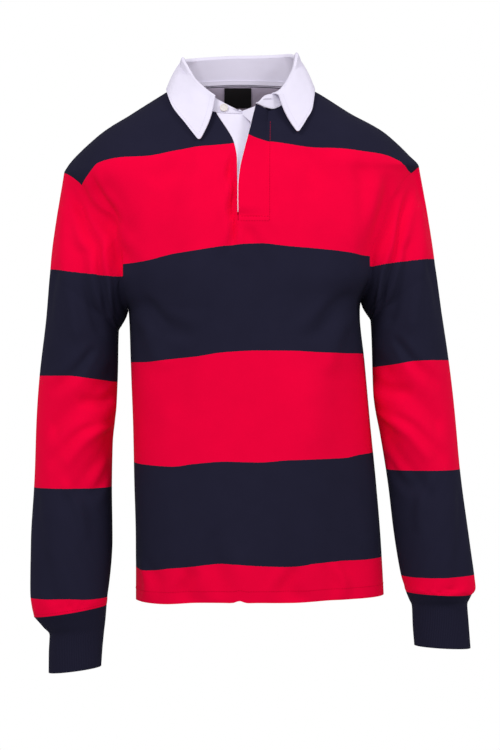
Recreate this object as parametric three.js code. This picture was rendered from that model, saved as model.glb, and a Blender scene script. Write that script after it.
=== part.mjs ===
// Long-sleeve rugby shirt with a white collar, filled out as if worn, with nothing inside it.
// Millimetres, +Z up, the front faces -Y. Right and left are the wearer's: right is -X, left is +X.
// The origin is midway between the two points where the shoulder seams meet the collar.

import * as THREE from "three";

// Cloth thicknesses and the gaps between pieces
const JERSEY = 1.6;
const TWILL = 1.8;
const RIB = 2.2;
const THIN_CLOTH = 1.0;
const SEAM_GAP = 0.3;
const LAID_GAP = 0.9;
const STRIP_GAP = 0.5;

// The body's level sections are rounded rectangles: |x/half|^ROUND + |y/depth|^ROUND = 1
const ROUND = 2.4;
const HEM = { right: -699, left: -692 };
const ARMPIT = { right: -309, left: -297 };
const SHOULDER_TIP = { right: -122, left: -114 };

// Sections from the hem to the armpits, then the chest and the sloping shoulders up to the neck
const BODY = table(
  ["height", "right", "left", "front", "back"],
  [-700, 142, 194, 112, 116],
  [-620, 142, 190, 116, 112],
  [-540, 144, 184, 117, 104],
  [-457, 146, 176, 118, 99],
  [-380, 149, 169, 121, 103],
  [-309, 152, 162, 125, 111],
  [-297, 161, 163, 126, 113],
  [-263, 183, 197, 128, 118],
  [-236, 190, 210, 127, 121],
  [-197, 196, 225, 125, 122],
  [-156, 219, 230, 118, 119],
  [-122, 240, 237, 110, 112],
  [-114, 236, 243, 108, 110],
  [-97, 222, 229, 103, 105],
  [-69, 188, 198, 95, 93],
  [-42, 147, 150, 86, 81],
  [-15, 104, 107, 74, 68],
  [-4, 86, 86, 69, 63],
  [6, 80, 80, 66, 60],
);

// Each armhole seam as seen from the front and from the back: distance from the middle at a height
const ARMHOLE = {
  right: table(
    ["height", "front", "back"],
    [-309, 152, 152],
    [-290, 155, 160],
    [-244, 159, 170],
    [-197, 165, 181],
    [-170, 188, 199],
    [-143, 214, 219],
    [-122, 240, 240],
  ),
  left: table(
    ["height", "front", "back"],
    [-297, 163, 163],
    [-263, 174, 176],
    [-236, 177, 184],
    [-197, 192, 197],
    [-156, 206, 212],
    [-134, 223, 225],
    [-114, 243, 243],
  ),
};

// Neck seam: half its width, and the heights of its low front, its sides and its back
const NECK = { half: 86, front: -50, side: -4, back: 3 };
const NECK_FRONT_POWER = 3;
const NECK_BACK_POWER = 2;

// The slit for the placket: where its two sides lie, and the height of its bottom
const SLIT = table(
  ["height", "right", "left"],
  [-700, -3.4, 35.3],
  [-187, -3.4, 35.3],
  [-113, -4.2, 35.6],
  [-90, -8, 36],
  [-47, -34.7, 36.8],
);

// Large folds of the body: a trough, or a ridge where the depth is above zero, between two points
const FRONT_FOLDS = table(
  ["fromX", "fromZ", "toX", "toZ", "width", "depth"],
  [160, -128, 162, -236, 14, -5],
  [178, -150, 168, -262, 12, 3],
  [-176, -150, -150, -206, 14, -4],
  [-150, -236, -128, -300, 18, -3],
  [-20, -262, -82, -430, 26, -3],
  [-58, -270, -116, -410, 24, 3],
  [33, -258, 80, -384, 26, -3],
  [112, -290, 96, -470, 30, 3],
  [140, -400, 158, -640, 26, -4],
  [-118, -470, -112, -660, 24, -3],
  [0, -640, 0, -700, 16, 4],
);
const BACK_FOLDS = table(
  ["fromX", "fromZ", "toX", "toZ", "width", "depth"],
  [-158, -150, -150, -262, 16, -5],
  [166, -140, 160, -256, 16, -5],
  [-70, -130, -34, -330, 30, -3],
  [84, -140, 30, -350, 30, -3],
  [-96, -360, -70, -600, 28, -4],
  [20, -380, 44, -640, 30, 4],
  [118, -400, 140, -650, 26, -4],
);

// Sleeve sections from the upper arm to the cuff seam, each by its outer and inner side point,
// half its depth from front to back, and how far its middle lies towards the back
const SLEEVE = {
  right: table(
    ["outX", "outZ", "inX", "inZ", "depth", "back"],
    [-259, -253, -165, -336, 66, 2],
    [-265, -328, -166, -378, 63, 3],
    [-272, -400, -169, -441, 60, 2],
    [-277.5, -473, -173.5, -491, 57, -1],
    [-281, -545, -174, -555, 54, -6],
    [-284, -620, -174.5, -620, 51, -13],
    [-283.5, -688, -178.5, -680, 49, -20],
    [-278.5, -722, -180.5, -706, 46, -24],
  ),
  left: table(
    ["outX", "outZ", "inX", "inZ", "depth", "back"],
    [265, -246, 176.5, -322, 66, 2],
    [275, -321, 178.5, -362, 63, 3],
    [284, -393, 181, -423, 60, 2],
    [293, -468, 190, -479, 57, -1],
    [301, -541, 200, -544, 54, -6],
    [309.5, -613, 209, -609, 51, -13],
    [317.5, -682, 219, -670, 49, -19],
    [312.5, -692, 223.5, -688, 47, -22],
  ),
};
const CUFF = {
  right: table(
    ["outX", "outZ", "inX", "inZ", "depth", "back"],
    [-278.5, -722, -180.5, -706, 46, -24],
    [-266, -736, -182, -725, 38, -25],
    [-257.5, -747, -184, -743, 32, -26],
    [-258.5, -772, -186, -765, 30, -28],
    [-258.5, -797, -187.5, -788, 30, -30],
  ),
  left: table(
    ["outX", "outZ", "inX", "inZ", "depth", "back"],
    [312.5, -692, 223.5, -688, 47, -22],
    [309.5, -698, 227.5, -698, 39, -23],
    [306.5, -706, 231.5, -708, 32, -24],
    [308.5, -735, 232.5, -734, 30, -26],
    [310.5, -764, 234.5, -760, 30, -28],
  ),
};

// Large folds of a sleeve: along it from 0 at the armhole to 1 at the cuff seam, and round it in
// degrees from the underarm over the front and the outer side to the back
const SLEEVE_FOLDS = table(
  ["fromAlong", "fromTurn", "toAlong", "toTurn", "width", "depth"],
  [0.1, 150, 0.34, 96, 14, 4],
  [0.14, 108, 0.3, 62, 12, -5],
  [0.4, 30, 0.56, 118, 12, -5],
  [0.47, 22, 0.62, 96, 12, 4],
  [0.56, 20, 0.7, 88, 12, -4],
  [0.48, 330, 0.6, 236, 13, -5],
  [0.72, 150, 0.92, 110, 13, -3],
  [0.14, 250, 0.34, 296, 14, -4],
);
const SLEEVE_LENGTH = 560;
const SLEEVE_GIRTH = 360;
const SLEEVE_HEAD_BULGE = 7;

// The collar's stand and fall, at angles round the neck from the front middle over the wearer's
// right. The roll is the fold between them. The stand's left end stands off with the open placket,
// and the fall's outer edge rests on the body.
const STAND = table(
  ["turn", "rollX", "rollY", "rollZ", "seamRise", "seamLift"],
  [-2.5, 1, -89, -45, 0, 0],
  [10.7, -24, -84, -31, 0, 0],
  [24, -43.5, -79, -19, 0, 0],
  [49, -58, -60, -3, 0, 0],
  [72, -68, -30, 15, 0, 0],
  [90, -76, 2, 32, 0, 0],
  [125, -61, 42, 38.5, 0, 0],
  [180, 0, 59, 43.5, 0, 0],
  [235, 61, 42, 43, 0, 0],
  [270, 74, 2, 38.5, 0, 0],
  [288, 71, -30, 19, 0, 0],
  [310, 62, -60, -3, 0, 0],
  [326, 49, -78, -18, 0, 0],
  [338, 33, -88, -23, 3, 5],
  [346, 22, -98, -36, 8, 15],
);
const FALL = table(
  ["turn", "rollX", "rollY", "rollZ", "edgeX", "edgeZ"],
  [20, -33, -90, -26, -53.5, -88],
  [49, -60, -62, -1, -72, -64],
  [72, -70, -31, 17, -91, -37],
  [90, -78, 2, 34, -98, -11],
  [125, -63, 44, 40.5, -87, -25],
  [180, 0, 62, 45.5, 0, -27],
  [235, 63, 44, 45.2, 87, -25],
  [270, 76, 2, 40.5, 98, -11],
  [288, 73, -31, 21, 95, -43],
  [310, 64, -62, -1, 87, -59],
  [331, 51, -88, -24, 76, -77],
);
const FALL_BULGE = 2;
const FALL_LIFT = 2.5;

// Placket strips: where their free edges lie, and how far the over-placket stands off the chest there
const OVER_EDGE = table(
  ["height", "x", "lift"],
  [-187, -2.1, 2.4],
  [-175, -2.2, 4.2],
  [-153, -2.3, 4.8],
  [-126, -0.1, 5.6],
  [-106, 4.5, 7],
  [-73, 13.5, 12],
  [-44, 21, 17],
);
const UNDER_EDGE = table(
  ["height", "x"],
  [-187, 32],
  [-113, 32],
  [-90, 28],
  [-60, 20],
  [-49, 14],
);
const OVER = { bottom: -185.3, topAtEdge: -44, seamLift: 0.2, curl: 0.8 };
const FACING = { bottom: -182, shows: 1.2, shortOfSeam: 5 };
const UNDER = { bottom: -182, sink: 5, curl: 0.35, flatAbove: -60, sunkBelow: -120 };

// Inside the back of the neck: the half-moon patch, the tape over the seam and the blank label
const PATCH = { half: 58, drop: 31, endDrop: 4 };
const TAPE = { fromTurn: 98, toTurn: 262, low: 0.04, high: 0.2 };
const LABEL = { right: -23, left: 15, top: 2, bottom: -23.5 };

// Rubber buttons: one on the stand, and two hidden between the placket strips
const BUTTON = { radius: 5.6, thickness: 2.4, rim: 1.3, dish: 0.7 };
const COLLAR_BUTTON = { turn: 12.5, up: 0.34 };
const HIDDEN_BUTTON = { radius: 5, thickness: 1.6, rim: 1, dish: 0.4 };
const PLACKET_BUTTONS = table(
  ["name", "x", "height", "lift"],
  ["upper", 15, -112, -2.6],
  ["lower", 15, -158, -3.1],
);

// How finely the cloth is divided
const LOWER_ROWS = 13;
const UPPER_ROWS = 12;
const UPPER_ROW_POWER = 1.5;
const SLIT_BOTTOM_ROW = LOWER_ROWS + 4;
const SHOULDER_CELLS = 9;
const NECK_CELLS = 4;
const SLIT_CELLS = 3;
const BACK_NECK_CELLS = 12;
const SLEEVE_HEAD_RINGS = 5;
const SLEEVE_RINGS = 14;
const CUFF_RINGS = 6;
const COLLAR_COLUMNS = 44;
const STAND_ROWS = 3;
const FALL_ROWS = 5;
const STRIP_COLUMNS = 5;
const STRIP_ROWS = 10;
const BUTTON_SIDES = 16;

const COLOURS = { navy: 0x22212f, red: 0xd80a3c, white: 0xf2eefb, grey: 0x8a8296, black: 0x141416 };

// Tables, curves and vectors

function table(columns, ...rows) {
  return rows.map((row) => Object.fromEntries(columns.map((name, i) => [name, row[i]])));
}

function mix(a, b, t) {
  return a + (b - a) * t;
}

function clamp(value, low, high) {
  return Math.min(Math.max(value, low), high);
}

// Reads a column of a table at any value of its key column, along a smooth curve that never
// overshoots its rows. Past the table's ends the end rows hold.
function read(rows, key, column, at) {
  const last = rows.length - 1;
  const first = rows[0][key];
  if (at <= first) return rows[0][column];
  if (at >= rows[last][key]) return rows[last][column];
  const slope = (i) => (rows[i + 1][column] - rows[i][column]) / (rows[i + 1][key] - rows[i][key]);
  const tangent = (i) => {
    if (i === 0) return slope(0);
    if (i === last) return slope(last - 1);
    const before = slope(i - 1);
    const after = slope(i);
    return before * after <= 0 ? 0 : (2 * before * after) / (before + after);
  };
  const i = rows.findIndex((row) => row[key] > at) - 1;
  const span = rows[i + 1][key] - rows[i][key];
  const t = (at - rows[i][key]) / span;
  const rise = t * t * (3 - 2 * t);
  const start = tangent(i) * span * t * (1 - t) ** 2;
  const end = tangent(i + 1) * span * t * t * (1 - t);
  return mix(rows[i][column], rows[i + 1][column], rise) + start - end;
}

// Reads a column at a place between rows, counted in rows
function readRow(rows, column, place) {
  return read(rows.map((row, i) => ({ place: i, value: row[column] })), "place", "value", place);
}

function point(x, y, z) {
  return new THREE.Vector3(x, y, z);
}

// Where a point lies beside a fold's line: 1 on the line, falling off softly to its sides and ends
function nearFold(x, y, fromX, fromY, toX, toY, width) {
  const along = { x: toX - fromX, y: toY - fromY };
  const length = along.x ** 2 + along.y ** 2;
  const t = clamp(((x - fromX) * along.x + (y - fromY) * along.y) / length, 0, 1);
  const away = Math.hypot(x - fromX - along.x * t, y - fromY - along.y * t);
  return Math.exp(-((away / width) ** 2));
}

// A closed wall between an outer and an inner grid of points. Rows run along the cloth and columns
// across it; a wrapped wall joins its last column to its first. Where keep is given, only the cells
// it keeps are built, and every open edge gets a rim.
function wall(outer, inner, { wrapped = false, keep = () => true } = {}) {
  const rows = outer.length;
  const columns = outer[0].length;
  const cellColumns = wrapped ? columns : columns - 1;
  const positions = [...outer.flat(), ...inner.flat()].flatMap((p) => [p.x, p.y, p.z]);
  const triangles = [];
  const out = (row, column) => row * columns + (column % columns);
  const inn = (row, column) => rows * columns + out(row, column);
  const kept = (row, column) => {
    if (row < 0 || row >= rows - 1) return false;
    if (!wrapped && (column < 0 || column >= cellColumns)) return false;
    return keep(row, (column + cellColumns) % cellColumns);
  };
  const quad = (a, b, c, d) => triangles.push(a, b, c, a, c, d);
  for (let row = 0; row < rows - 1; row++) {
    for (let column = 0; column < cellColumns; column++) {
      if (!kept(row, column)) continue;
      const corners = [[row, column], [row, column + 1], [row + 1, column + 1], [row + 1, column]];
      const beside = [[row - 1, column], [row, column + 1], [row + 1, column], [row, column - 1]];
      const [a, b, c, d] = corners.map((corner) => out(...corner));
      const [e, f, g, h] = corners.map((corner) => inn(...corner));
      quad(a, b, c, d);
      triangles.push(e, g, f, e, h, g);
      corners.forEach((corner, i) => {
        const next = corners[(i + 1) % 4];
        if (!kept(...beside[i])) quad(out(...next), out(...corner), inn(...corner), inn(...next));
      });
    }
  }
  const geometry = new THREE.BufferGeometry();
  geometry.setAttribute("position", new THREE.Float32BufferAttribute(positions, 3));
  geometry.setIndex(facingOut(positions, triangles));
  return geometry.toNonIndexed();
}

// Turns every triangle over if the closed body they make has its faces pointing in
function facingOut(positions, triangles) {
  let volume = 0;
  const at = (index) => new THREE.Vector3().fromArray(positions, 3 * index);
  for (let i = 0; i < triangles.length; i += 3) {
    const [a, b, c] = [0, 1, 2].map((k) => at(triangles[i + k]));
    volume += a.dot(b.cross(c));
  }
  return volume > 0 ? triangles : triangles.slice().reverse();
}

// The grid moved along its own surface direction, taken from each point's neighbours
function moved(grid, distance, wrapped = false) {
  const rows = grid.length;
  const columns = grid[0].length;
  const column = (i) => (wrapped ? (i + columns) % columns : clamp(i, 0, columns - 1));
  return grid.map((line, row) =>
    line.map((p, i) => {
      const across = line[column(i + 1)].clone().sub(line[column(i - 1)]);
      const along = grid[Math.min(row + 1, rows - 1)][i].clone().sub(grid[Math.max(row - 1, 0)][i]);
      return p.clone().addScaledVector(across.cross(along).normalize(), distance);
    }),
  );
}

function piece(name, geometry, colour, roughness = 0.85) {
  geometry.computeVertexNormals();
  const material = new THREE.MeshStandardMaterial({ color: colour, roughness, metalness: 0 });
  const mesh = new THREE.Mesh(geometry, material);
  mesh.name = name;
  return mesh;
}

// The body's surface. A side is -1 for the front and 1 for the back.

function halfWidth(x, height) {
  return read(BODY, "height", x < 0 ? "right" : "left", height);
}

function halfDepth(side, height) {
  return read(BODY, "height", side < 0 ? "front" : "back", height);
}

function bodyDepth(x, height, side) {
  const across = Math.min(Math.abs(x) / halfWidth(x, height), 1);
  return halfDepth(side, height) * (1 - across ** ROUND) ** (1 / ROUND);
}

// The direction straight off the body's surface
function bodyNormal(x, y, height, side) {
  const level = (z) =>
    (Math.abs(x) / halfWidth(x, z)) ** ROUND + (Math.abs(y) / halfDepth(side, z)) ** ROUND;
  const slope = (value, half) => Math.sign(value) * ROUND * Math.abs(value) ** (ROUND - 1) * half ** -ROUND;
  return point(
    slope(x, halfWidth(x, height)),
    slope(y, halfDepth(side, height)),
    (level(height + 1) - level(height - 1)) / 2,
  ).normalize();
}

function bodyFold(x, height, side) {
  return (side < 0 ? FRONT_FOLDS : BACK_FOLDS).reduce(
    (sum, fold) =>
      sum + fold.depth * nearFold(x, height, fold.fromX, fold.fromZ, fold.toX, fold.toZ, fold.width),
    0,
  );
}

// A point on the body's cloth, or lifted off it where a lift is given
function onBody(x, height, side, lift = 0) {
  const y = side * bodyDepth(x, height, side);
  const edge = Math.abs(y) / halfDepth(side, height);
  const away = lift + bodyFold(x, height, side) * Math.min(edge * 2, 1);
  return point(x, y, height).addScaledVector(bodyNormal(x, y, height, side), away);
}

// The neck seam

function neckHeight(x, side) {
  const across = Math.min(Math.abs(x) / NECK.half, 1);
  return side < 0
    ? mix(NECK.front, NECK.side, across ** NECK_FRONT_POWER)
    : mix(NECK.back, NECK.side, across ** NECK_BACK_POWER);
}

function neckPoint(turn, lift = 0) {
  const angle = THREE.MathUtils.degToRad(turn);
  const x = -NECK.half * Math.sin(angle);
  const side = Math.cos(angle) > 0 ? -1 : 1;
  return onBody(x, neckHeight(x, side), side, lift);
}

// Front and back panels: grids from the hem up to the shoulder seams and the neck

// An angle from -1 at the right side seam to 1 at the left one, where a level section crosses x
function sideAngle(x, height) {
  const share = (Math.abs(x) / halfWidth(x, height)) ** (ROUND / 2);
  return (Math.sign(x) * Math.asin(share) * 2) / Math.PI;
}

function atSideAngle(angle, height) {
  const share = Math.sin((Math.abs(angle) * Math.PI) / 2) ** (2 / ROUND);
  return Math.sign(angle) * halfWidth(angle, height) * share;
}

function spaced(from, to, cells) {
  return Array.from({ length: cells + 1 }, (_, i) => mix(from, to, i / cells));
}

// The top edge's points: up one shoulder seam, across the neck through the given stops, down the other
function topEdge(side, stops) {
  const shoulder = (name, sign) =>
    spaced(SHOULDER_TIP[name], NECK.side, SHOULDER_CELLS).map((height) => ({
      x: sign * halfWidth(sign, height),
      height,
    }));
  const neck = stops.slice(0, -1).flatMap((stop, i) =>
    spaced(stop.x, stops[i + 1].x, stop.cells).slice(1),
  );
  return [
    ...shoulder("right", -1),
    ...neck.slice(0, -1).map((x) => ({ x, height: neckHeight(x, side) })),
    ...shoulder("left", 1).reverse(),
  ];
}

// A panel's grid. The columns in fixed keep to a line of their own at every height: the two edges,
// and on the front the two sides of the slit. The others share out the cloth between them.
function bodyPanel(side, stops, slitColumns) {
  const top = topEdge(side, stops);
  const columns = top.length;
  const middle = (ARMPIT.right + ARMPIT.left) / 2;
  const slitX = (name, height) => read(SLIT, "height", name, height);
  const fixed = slitColumns
    ? [
        { column: 0, angle: -1 },
        { column: slitColumns[0], angle: sideAngle(slitX("right", middle), middle), slit: "right" },
        { column: slitColumns[1], angle: sideAngle(slitX("left", middle), middle), slit: "left" },
        { column: columns - 1, angle: 1 },
      ]
    : [{ column: 0, angle: -1 }, { column: columns - 1, angle: 1 }];
  const angles = fixed.slice(0, -1).flatMap((from, i) => {
    const to = fixed[i + 1];
    const stretch = spaced(from.angle, to.angle, to.column - from.column);
    return i === 0 ? stretch : stretch.slice(1);
  });
  const across = (angle) => (angle + 1) / 2;
  const armpitHeight = (angle) => mix(ARMPIT.right, ARMPIT.left, across(angle));
  const lower = spaced(0, 1, LOWER_ROWS).map((share) =>
    angles.map((angle) => {
      const hem = mix(HEM.right, HEM.left, across(angle));
      const height = mix(hem, armpitHeight(angle), share);
      return { x: atSideAngle(angle, height), height };
    }),
  );
  const armpitRow = lower[LOWER_ROWS];
  const upper = spaced(0, 1, UPPER_ROWS).slice(1).map((step) => {
    const share = 1 - (1 - step) ** UPPER_ROW_POWER;
    const heights = angles.map((angle, i) => mix(armpitHeight(angle), top[i].height, share));
    const holeColumn = side < 0 ? "front" : "back";
    const line = fixed.map(({ column, angle, slit }) => {
      const height = heights[column];
      if (slit) return slitX(slit, height);
      const name = angle < 0 ? "right" : "left";
      return angle * read(ARMHOLE[name], "height", holeColumn, height);
    });
    return angles.map((_, i) => {
      const next = Math.max(fixed.findIndex(({ column }) => column >= i), 1);
      const [from, to] = [fixed[next - 1].column, fixed[next].column];
      const part = (points) => (points[i].x - points[from].x) / (points[to].x - points[from].x);
      const between = mix(part(armpitRow), part(top), share);
      return { x: mix(line[next - 1], line[next], between), height: heights[i] };
    });
  });
  const plan = [...lower, ...upper];
  const lastRow = plan.length - 1;
  const laid = (lift) =>
    plan.map((line, row) =>
      line.map(({ x, height }, column) => {
        const p = onBody(x, height, side, lift);
        const onSideSeam = (column === 0 || column === columns - 1) && row <= LOWER_ROWS;
        const onShoulder = row === lastRow && Math.abs(x) >= NECK.half;
        if (onSideSeam || onShoulder) p.y = (side * SEAM_GAP) / 2;
        return p;
      }),
    );
  return { outer: laid(0), inner: laid(-JERSEY) };
}

const slitColumns = [SHOULDER_CELLS + NECK_CELLS, SHOULDER_CELLS + NECK_CELLS + SLIT_CELLS];
const front = bodyPanel(
  -1,
  [
    { x: -NECK.half, cells: NECK_CELLS },
    { x: SLIT.at(-1).right, cells: SLIT_CELLS },
    { x: SLIT.at(-1).left, cells: NECK_CELLS },
    { x: NECK.half },
  ],
  slitColumns,
);
const back = bodyPanel(1, [{ x: -NECK.half, cells: BACK_NECK_CELLS }, { x: NECK.half }]);

function frontGeometry() {
  const inSlit = (column) => column >= slitColumns[0] && column < slitColumns[1];
  return wall(front.outer, front.inner, {
    keep: (row, column) => row < SLIT_BOTTOM_ROW || !inSlit(column),
  });
}

// Sleeves and cuffs: rings that start on the armhole seam and run down the arm

// The armhole seam as a loop from the underarm up the front, over the shoulder and down the back,
// or the panels' points that many columns in from it
function armholeLoop(layer, name, columnsIn = 0) {
  const column = (line) => (name === "right" ? columnsIn : line.length - 1 - columnsIn);
  const edgeOf = (panel) => panel[layer].slice(LOWER_ROWS).map((line) => line[column(line)]);
  const [up, down] = [edgeOf(front), edgeOf(back).reverse()];
  const shared = (a, b) => a.clone().add(b).multiplyScalar(0.5);
  const last = up.length - 1;
  return [shared(up[0], down[last]), ...up.slice(1, -1), shared(up[last], down[0]), ...down.slice(1, -1)];
}

// The way off the body at each point of the armhole seam
function seamDirections(name) {
  const neighbours = armholeLoop("outer", name, 1);
  const directions = armholeLoop("outer", name).map((p, i) => p.clone().sub(neighbours[i]).normalize());
  directions[0] = point(name === "right" ? -1 : 1, 0, -1).normalize();
  return directions;
}

// How far round the arm each point of the loop lies, 0 and 1 at the underarm, 0.5 on the shoulder
function loopShares(loop) {
  const half = loop.length / 2;
  const lengths = loop.map((p, i) => p.distanceTo(loop[(i + 1) % loop.length]));
  const sum = (from, to) => lengths.slice(from, to).reduce((total, length) => total + length, 0);
  return loop.map((_, i) =>
    i < half ? (0.5 * sum(0, i)) / sum(0, half) : 0.5 + (0.5 * sum(half, i)) / sum(half),
  );
}

function armRing(sections, place, shares) {
  const value = (column) => readRow(sections, column, place);
  const middle = point((value("outX") + value("inX")) / 2, value("back"), (value("outZ") + value("inZ")) / 2);
  const inward = point((value("inX") - value("outX")) / 2, 0, (value("inZ") - value("outZ")) / 2);
  return shares.map((share) => {
    const angle = share * 2 * Math.PI;
    return middle
      .clone()
      .addScaledVector(inward, Math.cos(angle))
      .add(point(0, -value("depth") * Math.sin(angle), 0));
  });
}

function sleeveFold(along, share) {
  return SLEEVE_FOLDS.reduce((sum, fold) => {
    const place = [along * SLEEVE_LENGTH, share * SLEEVE_GIRTH];
    const from = [fold.fromAlong * SLEEVE_LENGTH, fold.fromTurn];
    const to = [fold.toAlong * SLEEVE_LENGTH, fold.toTurn];
    return sum + fold.depth * nearFold(...place, ...from, ...to, fold.width);
  }, 0);
}

function sleeveGeometry(name) {
  const seam = armholeLoop("outer", name);
  const lining = armholeLoop("inner", name);
  const directions = seamDirections(name);
  const shares = loopShares(seam);
  const sections = SLEEVE[name];
  const lastSection = sections.length - 1;
  const upperArm = armRing(sections, 0, shares);
  const below = armRing(sections, 0.5, shares);
  const middleX = (upperArm[0].x + upperArm[shares.length / 2].x) / 2;
  const start = seam.map((p, i) => p.clone().addScaledVector(directions[i], SEAM_GAP));
  const head = spaced(0, 1, SLEEVE_HEAD_RINGS).slice(0, -1).map((t) =>
    start.map((p, i) => {
      const chord = upperArm[i].clone().sub(p);
      const leaving = below[i].clone().sub(upperArm[i]).multiplyScalar(chord.length() / 40);
      const outward = point(upperArm[i].x - middleX, upperArm[i].y, 0);
      const curved = p
        .clone()
        .multiplyScalar(1 - t)
        .addScaledVector(upperArm[i], t)
        .addScaledVector(leaving.sub(chord), -t * t * (1 - t));
      const bulge = SLEEVE_HEAD_BULGE * Math.sin(Math.PI * t) * Math.sin(2 * Math.PI * shares[i]) ** 2;
      return curved.addScaledVector(outward.normalize(), bulge);
    }),
  );
  const arm = spaced(0, lastSection, SLEEVE_RINGS).map((place) => armRing(sections, place, shares));
  const rings = [...head, ...arm];
  const lastRing = rings.length - 1;
  const handed = name === "right" ? 1 : -1;
  const smooth = moved(rings, handed, true);
  const outwards = rings.map((ring, row) => ring.map((p, i) => smooth[row][i].clone().sub(p)));
  const folded = rings.map((ring, row) =>
    ring.map((p, i) => {
      const ease = Math.min(row, lastRing - row, 2) / 2;
      return p.clone().addScaledVector(outwards[row][i], sleeveFold(row / lastRing, shares[i]) * ease);
    }),
  );
  const inner = folded.map((ring, row) =>
    ring.map((p, i) => p.clone().addScaledVector(outwards[row][i], -JERSEY)),
  );
  inner[0] = lining.map((p, i) => p.clone().addScaledVector(directions[i], SEAM_GAP));
  return wall(folded, inner, { wrapped: true });
}

// A cuff starts just below its sleeve's last ring and is wide only there
function cuffGeometry(name) {
  const shares = loopShares(armholeLoop("outer", name));
  const rings = spaced(0, CUFF[name].length - 1, CUFF_RINGS).map((place) =>
    armRing(CUFF[name], place, shares).map((p) => p.add(point(0, 0, -SEAM_GAP))),
  );
  const inner = moved(rings, name === "right" ? -RIB : RIB, true);
  inner[0].forEach((p, i) => {
    p.z = rings[0][i].z;
  });
  return wall(rings, inner, { wrapped: true });
}

// The collar: each grid runs round the neck from the wearer's right front end to the left one

function standPoint(turn, up) {
  const value = (column) => read(STAND, "turn", column, turn);
  const seam = neckPoint(turn, value("seamLift")).add(point(0, 0, value("seamRise") + LAID_GAP));
  return seam.lerp(point(value("rollX"), value("rollY"), value("rollZ")), up);
}

function standGrid(fromTurn, toTurn, low, high, columns, rows) {
  return spaced(low, high, rows).map((up) =>
    spaced(fromTurn, toTurn, columns).map((turn) => standPoint(turn, up)),
  );
}

function standGeometry() {
  const outer = standGrid(STAND[0].turn, STAND.at(-1).turn, 0, 1, COLLAR_COLUMNS, STAND_ROWS);
  return wall(outer, moved(outer, TWILL));
}

function fallPoint(turn, down) {
  const value = (column) => read(FALL, "turn", column, turn);
  const side = turn < 90 || turn > 270 ? -1 : 1;
  const roll = point(value("rollX"), value("rollY"), value("rollZ"));
  const edge = onBody(value("edgeX"), value("edgeZ"), side, FALL_LIFT);
  const p = roll.clone().lerp(edge, down);
  const outward = point(p.x, p.y, 0).normalize();
  p.addScaledVector(outward, FALL_BULGE * Math.sin(Math.PI * down));
  const clear = bodyDepth(p.x, p.z, side) > 0 ? bodyDepth(p.x, p.z, side) + FALL_LIFT : 0;
  p.y = side * Math.max(side * p.y, clear);
  return p;
}

function fallGeometry() {
  const inner = spaced(0, 1, FALL_ROWS).map((down) =>
    spaced(FALL[0].turn, FALL.at(-1).turn, COLLAR_COLUMNS).map((turn) => fallPoint(turn, down)),
  );
  return wall(moved(inner, TWILL), inner);
}

// The placket strips: each runs up the chest, from one edge across to the other

function strip(rows, columns, place, thickness) {
  const layer = (depth) =>
    spaced(0, 1, rows).map((up) =>
      spaced(0, 1, columns).map((across) => {
        const { x, height, lift } = place(up, across);
        return onBody(x, height, -1, lift - depth);
      }),
    );
  return wall(layer(0), layer(thickness));
}

function overLift(x, height) {
  const edge = read(OVER_EDGE, "height", "x", height);
  const seam = read(SLIT, "height", "left", height);
  const share = clamp((x - edge) / (seam - edge), 0, 1);
  return mix(OVER.seamLift, read(OVER_EDGE, "height", "lift", height), (1 - share) ** OVER.curl);
}

function overPlace(up, across) {
  const top = mix(OVER.topAtEdge, neckHeight(SLIT.at(-1).left, -1) - SEAM_GAP, across);
  const height = mix(OVER.bottom, top, up);
  const x = mix(
    read(OVER_EDGE, "height", "x", height),
    read(SLIT, "height", "left", height) - SEAM_GAP,
    across,
  );
  return { x, height, lift: overLift(x, height) };
}

function facingPlace(up, across) {
  const height = mix(FACING.bottom, OVER.topAtEdge - FACING.shows, up);
  const x = mix(
    read(OVER_EDGE, "height", "x", height) - FACING.shows,
    read(SLIT, "height", "left", height) - FACING.shortOfSeam,
    across,
  );
  return { x, height, lift: overLift(x, height) - JERSEY - STRIP_GAP };
}

function underPlace(up, across) {
  const level = mix(UNDER.bottom, NECK.front, up);
  const x = mix(
    read(SLIT, "height", "right", level) + STRIP_GAP,
    read(UNDER_EDGE, "height", "x", level),
    across,
  );
  const height = mix(UNDER.bottom, neckHeight(x, -1), up) - SEAM_GAP;
  const sunk = clamp((UNDER.flatAbove - level) / (UNDER.flatAbove - UNDER.sunkBelow), 0, 1);
  return { x, height, lift: -UNDER.sink * sunk * across ** UNDER.curl };
}

// What lies inside the back of the neck

function patchGeometry() {
  const layer = (depth) =>
    spaced(0, 1, 3).map((down) =>
      spaced(-PATCH.half, PATCH.half, 16).map((x) => {
        const round = Math.sqrt(1 - (x / PATCH.half) ** 2);
        const height = neckHeight(x, 1) - SEAM_GAP - down * mix(PATCH.endDrop, PATCH.drop, round);
        return onBody(x, height, 1, -depth);
      }),
    );
  const depth = JERSEY + LAID_GAP;
  return wall(layer(depth), layer(depth + THIN_CLOTH));
}

function labelGeometry() {
  const layer = (depth) =>
    spaced(LABEL.bottom, LABEL.top, 3).map((height) =>
      spaced(LABEL.right, LABEL.left, 6).map((x) => onBody(x, height, 1, -depth)),
    );
  const depth = JERSEY + LAID_GAP + THIN_CLOTH + LAID_GAP;
  return wall(layer(depth), layer(depth + THIN_CLOTH));
}

function tapeGeometry() {
  const grid = standGrid(TAPE.fromTurn, TAPE.toTurn, TAPE.low, TAPE.high, 24, 1);
  const depth = TWILL + LAID_GAP;
  return wall(moved(grid, depth), moved(grid, depth + THIN_CLOTH));
}

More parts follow.
